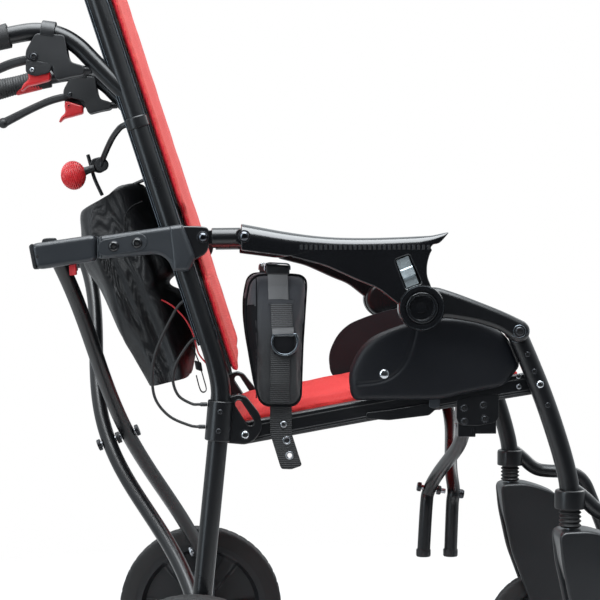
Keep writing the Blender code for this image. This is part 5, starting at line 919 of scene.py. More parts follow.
latchValues = dict(
    line=((0.24, 0.661), (0.2525, 0.629)), half=0.0083, over=(-0.004, -0.0022), lane=0.2552, thick=0.0021,
    bow=[(-0.12, 0.0002), (0.03, 0.0004), (0.26, 0.0012), (0.3, 0.002), (0.57, 0.004), (0.64, 0.0006),
         (0.755, 0.0002), (1.2, 0.0026)],
    section=[(-1, 0.0), (-1, 0.7), (-0.95, 0.92), (-0.88, 1.0), (0.88, 1.0), (0.95, 0.92), (1, 0.7),
             (1, 0.0)],
    margin=0.0014, swingRoom=0.0016,  # clear of the pocket, and more where its lower end swings forward
)


def boxLoft(x, side, low, high, floor, top, radii, steps=9):
    # a ring at each x: a box section with corner radii outer floor, outer top, inner top, inner floor
    low, high, floor, top = (np.broadcast_to(np.asarray(value, float), (len(x),))[:, None]
                             for value in (low, high, floor, top))
    corners = ((high, floor, -1, 1), (high, top, -1, -1), (low, top, 1, -1), (low, floor, 1, 1))
    y, z = [], []
    for number, (edge, level, turnY, turnZ) in enumerate(corners):
        room = 0.15 if turnZ > 0 else 0.84
        radius = np.minimum(radii[number], np.minimum(0.49 * (high - low), room * (top - floor)))
        angle = np.radians(np.linspace(-90, 0, steps) + 90 * number)[None]
        y.append(edge + turnY * radius + radius * np.cos(angle))
        z.append(level + turnZ * radius + radius * np.sin(angle))
    y, z = np.concatenate(y, axis=1), np.concatenate(z, axis=1)
    return ringShell(np.stack([np.broadcast_to(x[:, None] - datumShift, y.shape), side * y, z], axis=-1))


def armTube(p):
    v = armValues
    p.rod("satinBlack", inLane([v["tubeStart"], v["front"]], p.side * sidePlane), v["tubeRadius"], 0.0012, 40,
          steps=8)
    p.spin("satinBlack", v["eye"], v["front"], sidePlane, 40)
    p.slab("satinBlack", capsule(v["pivot"], v["tongue"], v["tongueHalf"]), v["tongueLane"], 0.001)
    p.make("armTube", "arm_tube_", ["arm_tube_"])


def latchAxes():
    # the latch's two ends, the direction down it and the one square to that
    upper, lower = np.array(latchValues["line"])
    along = unit(lower - upper)
    return upper, lower, along, squareTo(along)


def armRest(p):
    # a crowned arm with a row of small slots, each a near-black inlay that paints the slot's shade, a web
    # with the latch's pocket and the hub's lug
    v, w = armValues, latchValues
    rear, outer = v["rear"], v["outer"]
    x = np.concatenate([[0.041, 0.0413, 0.042], np.linspace(0.043, rear, 6),
                        np.linspace(rear + 0.0002, 0.294, 110), [0.2946, 0.295]])
    ease = np.zeros(len(x))
    ease[:3] = 0.0014, 0.0006, 0.0001
    low = np.where(x < rear + 0.0001, v["cheek"], v["inner"]) + ease
    top = np.interp(x, *roundedRoute(v["top"], 0.03, 6).T)
    floor = np.minimum(np.interp(x, *roundedRoute(v["floor"], 0.006, 6).T) + ease, top - 0.0012)
    crown = np.interp(x, *np.transpose(v["crown"]))[:, None]
    p.add("glossBlack", boxLoft(x, p.side, low, outer + 0.0001 - ease, floor, top - ease,
                                (0.0012, crown, crown, 0.002)))
    outline = roundedLoop(v["web"], 0.01, 8)
    upper, lower, along, square = latchAxes()
    head = upper + along * (w["over"][0] - w["margin"])
    foot = lower + along * (w["over"][1] + w["margin"])
    reach = square * (w["half"] + w["margin"])
    swung = foot + reach + square * w["swingRoom"]
    pocket = roundedLoop([head - reach, foot - reach, swung, head + reach], 0.0036, 6)
    p.slab("glossBlack", outline, (v["split"], outer), 0.0022, rounds=4, holes=[pocket])
    p.slab("glossBlack", inset(outline, 0.0007), (v["webLane"], v["split"] + 0.0002), 0.0012)
    p.spin("glossBlack", v["lug"], v["hub"], outer, 64)
    for x in np.linspace(*v["slotRow"], v["slotCount"]):
        ends = np.array([(x, v["slotZ"] - v["slotHalf"]), (x, v["slotZ"] + v["slotHalf"])])
        # painted shade: each slot is a flat near-black inlay just proud of the face, not a cut
        p.slab("paintedRecessShade", capsule(*ends, v["slotRadius"], 5), (outer - 0.0006, outer + 0.00025), 0.0001,
               rounds=1)
        rib = [(x - v["ribBack"], v["slotZ"] + way * v["ribHalf"]) for way in (-1, 0, 1)]
        p.wire("darkSteel", rib, outer + 0.0001, v["ribRadius"], 0.0001, 6)
    p.dome(v["front"], outer + 0.0001, 0.0062, 0.004)
    p.pin("zincSteel", v["front"], v["frontPin"], v["pinRadius"], 0.0005)
    p.make("armRest", "armrest_", ["armrest_"])


hubValues = dict(
    lane=0.2613,
    profile=[(0.0276, 0.0), (0.0282, 0.0008), (0.0282, 0.0046), (0.0276, 0.0058), (0.0262, 0.0062),
             (0.0222, 0.0064), (0.0212, 0.0061), (0.0206, 0.0046), (0.0196, 0.0046), (0.019, 0.0062),
             (0.0182, 0.0067), (0.0166, 0.0067), (0.0158, 0.0062), (0.0152, 0.002), (0.0146, 0.0014),
             (0.007, 0.0014), (0.0066, 0.003), (0.005, 0.0034), (0.001, 0.0034)],
    rims=(0.0264, 0.019, 0.016), rimHeight=0.006,
    rim=[(0.0005, -0.0002), (0.0002, 0.0004), (-0.0002, 0.0004), (-0.0005, -0.0002)],
)


def hubCap(p):
    # a stepped cap: outer ring, groove, inner ring and a plain recess
    v = hubValues
    p.spin("glossBlack", v["profile"], armValues["hub"], v["lane"], 96)
    for radius in v["rims"]:
        p.hoop("edgeLine", np.add(v["rim"], [radius, v["rimHeight"]]), armValues["hub"], v["lane"])
    p.make("hubCap", "armrest_", ["hub_cap_"])


def latch(p):
    # a bent strip: an upper facet that rises to a ridge, a step, and a lower facet
    v = latchValues
    upper, lower, along, square = latchAxes()
    length = np.linalg.norm(lower - upper)
    s = np.linspace(v["over"][0], length + v["over"][1], 80)
    width = v["half"] * (1 - 0.05 * np.clip(1 - (s - s[0]) / 0.0006, 0, 1))
    across, rise = np.transpose(v["section"])
    y = v["lane"] + np.interp(s / length, *np.transpose(v["bow"]))[:, None] + v["thick"] * rise
    flat = (upper + along * s[:, None])[:, None] + (width[:, None] * across)[..., None] * square
    p.add("brushedAluminium", ringShell(spaced(flat, p.side * y)))
    p.make("latch", "armrest_latch_", ["armrest_latch_"], sharp=24)


frontArmValues = dict(
    lane=(0.2279, 0.2442), hub=0.0262, end=0.014,
    lower=[(0.29, 0.591), (0.313, 0.588), (0.34, 0.583), (0.365, 0.574)],
    upper=[(0.37, 0.5975), (0.34, 0.6094), (0.308, 0.6215), (0.284, 0.629)],
    seam=[(0.377, 0.5685), (0.386, 0.566), (0.396, 0.5695), (0.3985, 0.576)], underLift=0.0032,
    ring=[(0.0076, -0.0004), (0.008, 0.0002), (0.0076, 0.0006), (0.007, 0.0002)],
)


def frontArm(p):
    # a tapering arm of nearly round section from the hub to the front leg
    v, pivot = frontArmValues, legValues["pivot"]
    far = v["lane"][1]
    outline = np.vstack([arc(armValues["hub"], v["hub"], 70, 300, 40), v["lower"],
                         arc(pivot, v["end"], -110, 60, 24), v["upper"]])
    p.slab("satinBlack", outline, v["lane"], 0.0074, 0.02, 8)
    p.wire("edgeLine", roundedRoute(v["seam"], 0.004, 6), far - 0.001)
    p.wire("edgeLine", roundedRoute(np.add(v["lower"], [0.0, v["underLift"]]), 0.02, 6), far - 0.003, 0.0006)
    p.screw(pivot, far + 0.0002, 0.0056, 0.0024, washer=True)
    p.spin("edgeLine", v["ring"], pivot, far)
    p.make("frontArm", "front_arm_", ["front_arm_"])


# seat rails and the folding tubes

railValues = dict(
    line=[(0.0461, 0.4441), (0.2088, 0.4738), (0.4158, 0.5066)], lane=(0.1825, 0.2022), half=0.014,
    drawn=(0.0078, -0.007, -0.01), drawnRadius=0.0009,
    bracketSpan=(0.314, 0.368), bracketLane=(0.17, 0.202), bracketHeights=(0.438, 0.4825),
    braceTop={"right": 0.3275, "left": 0.3538}, bracePivot=(0.18, 0.45), socket=0.0204, sweep=0.0126,
    boss=[(0.314, 0.46), (0.314, 0.486), (0.348, 0.4915), (0.368, 0.494), (0.368, 0.462),
          (0.363, 0.456), (0.34, 0.452), (0.319, 0.453)],
    screws=[(0.3235, 0.475), (0.348, 0.479), (0.324, 0.458), (0.35, 0.461)],
    ring=[(0.0046, -0.0004), (0.0054, 0.0002), (0.005, 0.0006), (0.0042, 0.0002)],
    grooves=(0.333, 0.336), grooveSpan=(0.4395, 0.45), gusset=[(0.3933, 0.515), (0.3938, 0.502)],
    legPin=(0.199, 0.2262),
    clip=[(0.199, 0.47), (0.23, 0.4735), (0.288, 0.483), (0.2895, 0.4755), (0.279, 0.466),
          (0.228, 0.46), (0.2, 0.4618)],
    catch=[(0.2788, 0.486), (0.2925, 0.488), (0.2925, 0.477), (0.285, 0.4745), (0.2788, 0.4765)],
)


def barOutline(points, half):
    # the outline of a flat bar along a bent line, with round ends
    p = np.asarray(points, float)
    t = tangents(p)
    square = squareTo(t)
    upper, lower = p + square * half, p - square * half
    first, last = (math.degrees(math.atan2(way[1], way[0])) for way in (t[0], t[-1]))
    return np.vstack([lower[1:-1], arc(p[-1], half, last - 90, last + 90, 20), upper[1:-1][::-1],
                      arc(p[0], half, first + 90, first + 270, 20)])


def seatRail(p):
    # a flat bar with drawn lines, the bracket for the braces, the side guard's clips and the screws
    v = railValues
    far = v["lane"][1]
    line = resampled(roundedRoute(v["line"], 0.05, 10), 40)
    p.slab("satinBlack", barOutline(line, v["half"]), v["lane"], 0.003, 0.004, steps=2)
    for offset in v["drawn"]:
        p.wire("satinBlack", line + squareTo(tangents(line)) * offset, far - 0.0003, v["drawnRadius"], 0.0004)
    x0, x1 = v["bracketSpan"]
    z0, z1 = v["bracketHeights"]
    face = v["bracketLane"][1]
    pivotY, pivotZ = v["bracePivot"]
    rear, front = v["braceTop"][p.tag] + np.array([-0.5, 0.5]) * v["socket"]
    # the bracket is four blocks round the brace's end: behind, ahead, above and outside
    blocks = [(x0 + 0.003, rear, z0, z1, v["bracketLane"]),
              (front, x1 - 0.003, z0 + 0.004, z1, v["bracketLane"]),
              (rear - 0.001, front + 0.001, pivotZ + v["sweep"], z1, v["bracketLane"]),
              (rear - 0.001, front + 0.001, z0, z1 - 0.001, (pivotY + v["sweep"], face - 0.0004))]
    for start, end, low, high, lane in blocks:
        outline = [(start, low), (end, low), (end, high), (start, high)]
        p.slab("satinBlack", outline, lane, 0.0009, 0.00126, 2, 5)
    p.rod("zincSteel", inLane([(rear - 0.0017, pivotZ), (front + 0.0017, pivotZ)], p.side * pivotY),
          0.0034, 0.0004, 18)
    p.slab("satinBlack", v["boss"], (face - 0.001, face + 0.0012), 0.0008, 0.005)
    for point in v["screws"]:
        p.screw(point, face + 0.0012, 0.0044, 0.0016)
        p.spin("darkSteel", v["ring"], point, face + 0.0011, 32)
    for x in v["grooves"]:
        groove = [(x, z) for z in np.linspace(*v["grooveSpan"], 4)]
        p.wire("darkSteel", groove, face + 0.0001, 0.0006)
    for point in v["gusset"]:
        p.screw(point, far + 0.0001, 0.0036, 0.0016, "zincSteel")
    p.pin("zincSteel", legValues["railPivot"], v["legPin"], 0.004, 0.0005)
    p.slab("satinBlack", v["clip"], (far - 0.001, far + 0.003), 0.001, 0.003)
    p.slab("slateCast", v["catch"], (far - 0.001, far + 0.0045), 0.001, 0.002)
    p.make("seatRail", "seat_rail_", ["seat_rail_"])


braceValues = dict(
    right=[(0.3275, 0.45), (0.3268, 0.418), (0.3138, 0.37), (0.3046, 0.341), (0.301, 0.32),
           (0.297, 0.25)],
    left=[(0.3538, 0.45), (0.353, 0.418), (0.34, 0.37), (0.3393, 0.341), (0.3375, 0.32),
          (0.335, 0.25)],
    share=[1.0, 0.72, 0.18, 0.0, 0.0, 0.0], pivotY=0.18, tip=0.008, radius=0.009, boltZ=0.341, slope=-0.1763,
    boltSpan=(-0.0167, 0.023), headOff=0.0112,
    foot=[(0.0094, -0.001), (0.0102, 0.0006), (0.0102, 0.008), (0.0094, 0.0094)],
    head=[(0.0065, 0), (0.0065, 0.004), (0.0056, 0.0054), (0.0028, 0.0055), (0.0026, 0.004)],
    longHead=[(0.0065, 0), (0.0065, 0.012), (0.0056, 0.0142), (0.0028, 0.0145), (0.0026, 0.012)],
)


def bracePoint(x):
    # a point on the slanting bolt where the braces cross
    v = braceValues
    middle = (v["right"][3][0] + v["left"][3][0]) / 2
    return np.array([x - datumShift, 0.0, v["boltZ"] + (x - middle) * v["slope"]])


def brace(p):
    # a bent tube from its rail down to the middle; the right one carries the bolt
    v = braceValues
    flat = np.array(v[p.tag])
    route = spaced(flat, p.side * v["pivotY"] * np.array(v["share"]))
    line = np.vstack([route[:1] + [0, p.side * v["tip"], 0], smoothRoute(route, 10)])
    p.add("satinBlack", tube(line, v["radius"], 0.0012, 36, (1, 0, 0)))
    p.add("grainedPlastic", turned(v["foot"], route[-1], (0, 0, 1), 32))
    x = flat[3][0]
    heads = [(x, 1, v["longHead"])]
    if p.side < 0:
        p.rod("zincSteel", [bracePoint(x + reach) for reach in v["boltSpan"]], 0.0035, 0.0005)
        heads = [(x - v["headOff"], -1, v["head"]), (x + v["headOff"], 1, v["head"])]
    for place, way, profile in heads:
        p.add("darkSteel", turned(profile, bracePoint(place), (way, 0, v["slope"] * way), 32, 3))
    p.make("brace", "brace_", ["brace_"], ["brace_bolt"] if p.side < 0 else [])


def crossTubes():
    # two tubes that cross behind the seat, bowed to pass each other by bow * sin^2 of the share of the way up
    v = crossing
    bolt = v["boltReach"]
    reach = np.linspace(-0.01, crossLength + 0.01, 60)
    width = np.where(reach < bolt, v["bottomY"] * (1 - reach / bolt),
                     -v["topY"] * (reach - bolt) / (crossLength - bolt))
    swell = np.sin(math.pi * np.clip(reach / crossLength, 0,
                                     1)) ** 2 / math.sin(math.pi * bolt / crossLength) ** 2
    for tag, way, bow in (("rear", -1, v["bowRear"]), ("front", 1, v["bowFront"])):
        p = Piece(1, tag)
        p.add("satinBlack", tube(crossPoint(reach, way * width, bow * swell), v["radius"], 0.0018, 40))
        if tag == "rear":
            hold = v["radius"] + v["discGap"]
            start, end = v["bowRear"] - hold, v["bowFront"] + hold
            p.rod("zincSteel", [crossPoint(bolt, 0, start - v["boltOver"]),
                                crossPoint(bolt, 0, end + v["boltOver"])],
                  v["pinRadius"], 0.0005)
            for place, turn in ((start, -1), (end, 1)):
                p.add("darkSteel", turned(v["disc"], crossPoint(bolt, 0, place), crossFront * turn, 32))
            spacer = [(v["spacer"], 0), (v["spacer"], v["bowFront"] - v["bowRear"] - 2 * hold)]
            p.add("grainedPlastic", turned(spacer, crossPoint(bolt, 0, v["bowRear"] + hold), crossFront, 32))
        p.make("crossTube", "cross_", ["cross_tube_"], ["cross_bolt"] if tag == "rear" else [])


runnerValues = dict(
    outline=[(-0.1375, 0.6916), (-0.033, 0.7067), (-0.0165, 0.6638), (-0.0235, 0.6488), (-0.044, 0.6488),
             (-0.047, 0.659), (-0.0555, 0.6675), (-0.066, 0.67), (-0.1375, 0.6635)],
    collar=[(-0.05, 0.7045), (-0.031, 0.7072), (-0.015, 0.666), (-0.023, 0.6482), (-0.044, 0.6484)],
    lug=[(-0.04, 0.705), (-0.01, 0.7045), (0.001, 0.703), (0.001, 0.678), (-0.004, 0.669),
         (-0.014, 0.664), (-0.022, 0.658), (-0.03, 0.652)],
    lane=(0.1975, 0.2325), lugLanes=((0.2206, 0.227), (0.203, 0.2094)),
    pad=((-0.125, 0.6775), (-0.085, 0.685)),
    padHalf=0.0105, padRise=0.0016, screws=[(-0.1159, 0.6794), (-0.0873, 0.6834)],
    ring=[(0.0062, -0.0004), (0.0068, 0.0001), (0.0064, 0.0005), (0.0058, 0.0002)],
    joint=[(-0.1352, 0.6644), (-0.1352, 0.6918)], jointPitch=0.0036, pin=(0.2042, 0.2262),
)


def runner(p):
    # the sliding casting on the back tube, with a raised pad, a collar round the tube and a forked lug
    v = runnerValues
    near, far = v["lane"]
    p.slab("slateCast", v["outline"], v["lane"], 0.006, 0.008, 8)
    p.slab("slateCast", v["collar"], (near + 0.002, far + 0.0012), 0.007, 0.005, 8)
    p.slab("slateCast", capsule(*v["pad"], v["padHalf"]), (far - 0.002, far + v["padRise"]), 0.0012)
    for lane in v["lugLanes"]:
        p.slab("satinBlack", v["lug"], lane, 0.0018, 0.007)
    for point in v["screws"]:
        p.screw(point, far + v["padRise"] + 0.0001, 0.006, 0.0026, "glossBlack")
        p.spin("darkSteel", v["ring"], point, far + v["padRise"])
    for shift in (0.0, v["jointPitch"]):
        p.wire("slateCast", resampled(np.add(v["joint"], [shift, 0]), 6), far - 0.0002, 0.0008)
    p.dome(armValues["pivot"], v["lugLanes"][0][1] + 0.0001, 0.006, 0.0038)
    p.pin("zincSteel", armValues["pivot"], v["pin"], armValues["pinRadius"], 0.0005)
    p.make("runner", "runner_", ["runner_"])


outriggerValues = dict(
    outline=[(-0.2188, 0.6824), (-0.1378, 0.6943), (-0.1378, 0.6612), (-0.2122, 0.6502)],
    endCap=[(-0.2205, 0.6795), (-0.218, 0.6822), (-0.216, 0.6824), (-0.211, 0.651), (-0.2138, 0.6508),
            (-0.2155, 0.653)],
    topCap=[(-0.206, 0.679), (-0.205, 0.6885), (-0.199, 0.6898), (-0.189, 0.69), (-0.188, 0.686)],
    topCapLane=(0.2062, 0.2238), tab=[(-0.1722, 0.659), (-0.164, 0.66), (-0.1632, 0.644), (-0.1712, 0.643)],
    tabLane=(0.2085, 0.2235), lane=(0.1985, 0.2315), hole=(-0.21, 0.6665),
    holeProfile=[(0.002, -0.0005), (0.002, 0.00015), (0.0004, 0.00015)], webRise=0.008, webY=0.211,
)


def outrigger(p):
    # a box section with an end cap, a small hole drawn as a near-black disc of painted shade, a cap on top
    # and the red tab below it
    v = outriggerValues
    near, far = v["lane"]
    p.slab("slateCast", v["outline"], v["lane"], 0.0062, 0.0085, 8, 8)
    # painted shade: the hole is a flat near-black disc on the face
    p.spin("paintedRecessShade", v["holeProfile"], v["hole"], far, 20)
    p.slab("grainedPlastic", v["endCap"], (near + 0.0006, far - 0.0006), 0.0014, 0.002)
    p.slab("grainedPlastic", v["topCap"], v["topCapLane"], 0.0012, 0.003)
    p.slab("redCord", v["tab"], v["tabLane"], 0.0007, 0.0015)
    crossEar(p, crossLength, crossing["topY"], crossLength + v["webRise"], v["webY"], 36)
    p.make("outrigger", "runner_", ["outrigger_"])


# push handles

handleValues = dict(
    route=[(-0.096, 0.864), (-0.117, 0.884), (-0.143, 0.91), (-0.161, 0.929), (-0.183, 0.942),
           (-0.212, 0.9465), (-0.243, 0.941), (-0.333, 0.9185)],
    radius=0.011, grip=[(-0.245, 0.9405), (-0.337, 0.9175)], gripRadius=0.016,
    perch=[(-0.212, 0.942), (-0.224, 0.92), (-0.224, 0.9105), (-0.1915, 0.9035), (-0.19, 0.893),
           (-0.1863, 0.884), (-0.17, 0.8885), (-0.1517, 0.892), (-0.1517, 0.902), (-0.168, 0.9066),
           (-0.172, 0.9135), (-0.176, 0.94)], perchLanes=((0.2211, 0.227), (0.203, 0.2089)),
    front=[(-0.2005, 0.942), (-0.201, 0.905), (-0.19, 0.893), (-0.1863, 0.885), (-0.17, 0.889),
           (-0.1525, 0.8925), (-0.1525, 0.9015), (-0.1685, 0.906), (-0.1726, 0.913), (-0.1765, 0.9395)],
    frontLane=(0.208, 0.222), cheekLane=(0.2222, 0.2268),
    cheek=[(-0.224, 0.91), (-0.224, 0.893), (-0.213, 0.889), (-0.195, 0.893), (-0.19, 0.905)],
    clamp=[(0.0112, 0), (0.0134, 0.0006), (0.0138, 0.0016), (0.0138, 0.0164), (0.0134, 0.0174),
           (0.0112, 0.018)],
    clampLine=[(-0.206, 0.9458), (-0.188, 0.9436)], barrel=[(-0.164, 0.8972), (-0.144, 0.8988)],
    barrelRadius=0.0052, leverPivot=(-0.214, 0.913), triggerPivot=(-0.216, 0.8967),
    lever=[(-0.208, 0.917), (-0.207, 0.911), (-0.21, 0.907), (-0.224, 0.905), (-0.243, 0.9),
           (-0.27, 0.888), (-0.312, 0.865), (-0.319, 0.866), (-0.321, 0.872), (-0.317, 0.877),
           (-0.276, 0.897), (-0.245, 0.911), (-0.224, 0.916)],
    leverLane=(0.2095, 0.2205), ball=(-0.3155, 0.8708), ballRadius=0.008,
    trigger=[(-0.2205, 0.904), (-0.1945, 0.8965), (-0.1946, 0.8853), (-0.2144, 0.8796), (-0.2235, 0.8776),
             (-0.229, 0.8722), (-0.2312, 0.8722), (-0.228, 0.88), (-0.2222, 0.885), (-0.2214, 0.889),
             (-0.223, 0.898)], triggerLane=(0.2052, 0.2214),
)


def handle(p):
    # the bent branch tube with the lever's bracket on it
    v = handleValues
    route = roundedRoute(inLane(v["route"], p.side * sidePlane), 0.03, 7)
    start = route[0] + (route[1] - route[0]) * 0.12
    p.add("satinBlack", tube(np.vstack([start, route[1:]]), v["radius"], 0.0012, 36))
    for lane in v["perchLanes"]:
        p.slab("grainedPlastic", v["perch"], lane, 0.0014, 0.005)
    p.slab("grainedPlastic", v["front"], v["frontLane"], 0.001, 0.004)
    p.slab("grainedPlastic", v["cheek"], v["cheekLane"], 0.0012, 0.004)
    first, last = inLane(v["clampLine"], p.side * sidePlane)
    p.add("grainedPlastic", turned(v["clamp"], first, last - first, 36))
    p.screw(v["leverPivot"], 0.2271, 0.0046, 0.002, washer=True)
    p.screw(v["triggerPivot"], 0.2269, 0.003, 0.0014, "zincSteel")
    p.screw(v["leverPivot"], 0.203, 0.0036, 0.0014, way=-1)
    p.rod("grainedPlastic", inLane(v["barrel"], p.side * sidePlane), v["barrelRadius"], 0.001, 24, steps=5)
    p.make("pushHandle", "rear_frame_", ["handle_"])


def grip(p):
    # a soft grip: radius less a waist of cosines along it, with fine rings and a red inlay below
    v = handleValues
    start, end = inLane(v["grip"], p.side * sidePlane)
    share = np.linspace(0, 1, 90)
    rings = 0.0004 * np.cos(fullTurn * share * 24) * (np.abs(share - 0.5) < 0.34)
    body = v["gripRadius"] - 0.0014 + 0.0009 * np.cos(fullTurn * share) - rings
    p.add("rubber", tube(start + (end - start) * share[:, None], body, 0.003, 48))
    # the inlay lies between two angles about the grip and narrows to a point at its ends
    around, centred = np.radians(np.linspace(205, 335, 24)), math.radians(250)
    widen = np.sin(math.pi * np.linspace(0, 1, 30)) ** 0.5
    angle = centred + (around - centred) * np.maximum(widen, 0.02)[:, None]
    u = np.array([0, p.side, 0.0])
    w = np.cross(unit(end - start), u)
    lower = -1 if w[2] > 0 else 1
    out = np.cos(angle)[..., None] * u * 0.9 - lower * np.sin(angle)[..., None] * w
    middle = (start + (end - start) * np.linspace(0.16, 0.58, 30)[:, None])[:, None]
    skin, under = (middle + (v["gripRadius"] - depth) * out for depth in (0.0006, 0.004))
    p.add("redPlastic", ringShell(np.concatenate([skin, under[:, ::-1]], axis=1)))
    p.make("softGrip", "rear_frame_", ["grip_"], level=False)


def brakeLever(p):
    # a slim curved blade that ends in a ball
    v = handleValues
    p.slab("grainedPlastic", v["lever"], v["leverLane"], 0.003, 0.02, 4)
    angle = np.linspace(-math.pi / 2 + 0.12, math.pi / 2 - 0.12, 18)
    ball = v["ballRadius"] * np.column_stack([np.cos(angle), np.sin(angle)])
    p.spin("grainedPlastic", ball, v["ball"], sidePlane)
    p.make("brakeLever", "brake_lever_", ["brake_lever_"])


def lockTrigger(p):
    v = handleValues
    p.slab("redPlastic", v["trigger"], v["triggerLane"], 0.0026, 0.003, 4)
    p.screw(v["triggerPivot"], v["triggerLane"][0] + 0.0001, 0.0026, 0.0012, "redPlastic", way=-1)
    p.make("lockTrigger", "lock_trigger_", ["lock_trigger_"])


# soft goods

guardValues = dict(
    outline=[(0.179, 0.495), (0.1763, 0.5206), (0.1888, 0.5488), (0.2069, 0.5666), (0.245, 0.5819),
             (0.2863, 0.5915), (0.32, 0.5905), (0.348, 0.585), (0.369, 0.573), (0.38, 0.561),
             (0.394, 0.529), (0.387, 0.52), (0.375, 0.5035), (0.315, 0.492), (0.29, 0.486),
             (0.184, 0.486)],
    lane=(0.2025, 0.215), crease=[(0.2625, 0.587), (0.258, 0.56), (0.248, 0.533), (0.233, 0.516),
                                   (0.213, 0.5085), (0.1888, 0.5065)],
    edgeBead=0.0011, edgeLane=0.206, button=(0.2209, 0.5194), buttonRadius=0.0066, buttonRise=0.0034,
)


def sideGuard(p):
    # a moulded panel: a flat face with a rolled edge, one embossed line and a dome screw
    v = guardValues

    def embossed(x, z):
        near = lineDistance(x, z, roundedRoute(v["crease"], 0.02, 8))
        return -0.001 * np.exp(-(near / 0.002) ** 2) + 0.0004 * np.exp(-((near - 0.0048) / 0.0035) ** 2)

    def swell(depth):
        return 1 - 0.62 * np.exp(-depth * 26) - 0.1 * np.exp(-depth * 6)

    p.add("guardSkin", softPanel(v["outline"], p.side * np.array(v["lane"]), swell, embossed, 260, 60))
    edge = resampled(roundedLoop(v["outline"], 0.02, 8), 200, True)
    p.bead("guardSkin", inset(edge, 0.0008), v["edgeLane"], v["edgeBead"])
    dome = np.radians(np.linspace(0, 88, 10))
    button = np.column_stack([v["buttonRadius"] * np.cos(dome), v["buttonRise"] * np.sin(dome) - 0.0008])
    p.spin("chrome", button, v["button"], v["lane"][1], 40)
    piece = p.make("sideGuard", "seat_rail_", ["side_guard_"], sharp=60, level=False)
    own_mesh(piece)


def paintSides(piece, test, finish, over=None):
    # faces that the test picks get another finish, where over is given only those that have that finish
    mesh = piece.data
    tint = fetched(mesh.polygons, "material_index", 1, int)
    picked = test(fetched(mesh.polygons, "center"), fetched(mesh.polygons, "normal"))
    if over:
        picked = picked & (tint == list(mesh.materials).index(finishes[over]))
    mesh.materials.append(finishes[finish])
    tint[picked] = len(mesh.materials) - 1
    mesh.polygons.foreach_set("material_index", tint)


hipValues = dict(
    outline=[(0.0719, 0.6448), (0.06, 0.6434), (0.0526, 0.6365), (0.0493, 0.6237), (0.0463, 0.605),
             (0.0465, 0.5788), (0.05, 0.55), (0.0577, 0.5061), (0.064, 0.486), (0.072, 0.479),
             (0.109, 0.479), (0.1165, 0.488), (0.1189, 0.5566), (0.122, 0.605), (0.1236, 0.63),
             (0.1228, 0.638), (0.1169, 0.6434), (0.1062, 0.6448)],
    lane=(0.2034, 0.2215), pivot=(0.0946, 0.4556), start=0.0035, wrap=0.06, seamZ=0.606, piping=0.0015,
    tail=[(0.0775, 0.49), (0.0775, 0.444), (0.0905, 0.402), (0.0925, 0.399), (0.1045, 0.3985),
          (0.116, 0.4025), (0.1175, 0.4045), (0.105, 0.444), (0.105, 0.49)],
    eyelet=(0.1023, 0.4163), rivet=(0.0988, 0.4353), pressed=(0.9946, 0, -0.1036),
    eyeletRim=[(0.003, 0.0), (0.005, 0.0), (0.0052, 0.0006), (0.0042, 0.0012), (0.0031, 0.0006)],
    buckle=[(0.0712, 0.644), (0.0712, 0.6575), (0.1018, 0.656), (0.1018, 0.643)],
    rim=[(0.0706, 0.649), (0.0712, 0.6572), (0.076, 0.659), (0.099, 0.6578), (0.1022, 0.6556),
         (0.1022, 0.65)],
    ring=[(0.0802, 0.5705), (0.1098, 0.57)], ringCentre=(0.0956, 0.5604), ringRadius=0.016, ringWire=0.0018,
    # each strap: finish, middle line, width, thickness and how far it stands over the pad's face
    straps=[("greyWebbing", [(0.0868, 0.648), (0.0872, 0.63), (0.0878, 0.612)], 0.025, 0.0018,
             (-0.0057, 0, 0)),
            ("ladderWebbing", [(0.0912, 0.608), (0.0922, 0.5785)], 0.0265, 0.0016, (0.0014, 0.0016)),
            ("blackWebbing", [(0.09, 0.556), (0.0897, 0.53), (0.0893, 0.49), (0.0893, 0.484)], 0.0245,
             0.0016, (0.0012, 0.0012, 0.0008, -0.0057)),
            ("neoprene", [(0.0735, 0.6102), (0.09, 0.6106), (0.1065, 0.6092)], 0.0064, 0.0022,
             (0, 0.0012, 0)),
            ("greyWebbing", [(0.093, 0.578), (0.0932, 0.5735), (0.0934, 0.569), (0.0934, 0.5676)], 0.0268,
             0.002, (0.0008, 0.0046, 0.005, 0.002)),
            ("padBlack", [(0.0946, 0.57), (0.0946, 0.545)], 0.0262, 0.0014, (0.0022, 0.0016))],
)


def strip(line, width, thick, side, lanes):
    # a flat strap down the pad's face: its middle line (x, z), its width and the lane at each point
    p = resampled(line, 60)
    y = np.interp(np.linspace(0, 1, 60), np.linspace(0, 1, len(lanes)), lanes)
    half, edge = width / 2, width / 2 - thick * 0.5
    across = np.array([-half, -half, -edge, edge, half, half])
    rise = thick * np.array([0, 0.7, 1, 1, 0.7, 0])
    flat = p[:, None] + across[:, None] * squareTo(tangents(p))[:, None]
    return ringShell(spaced(flat, side * (y[:, None] + rise)))


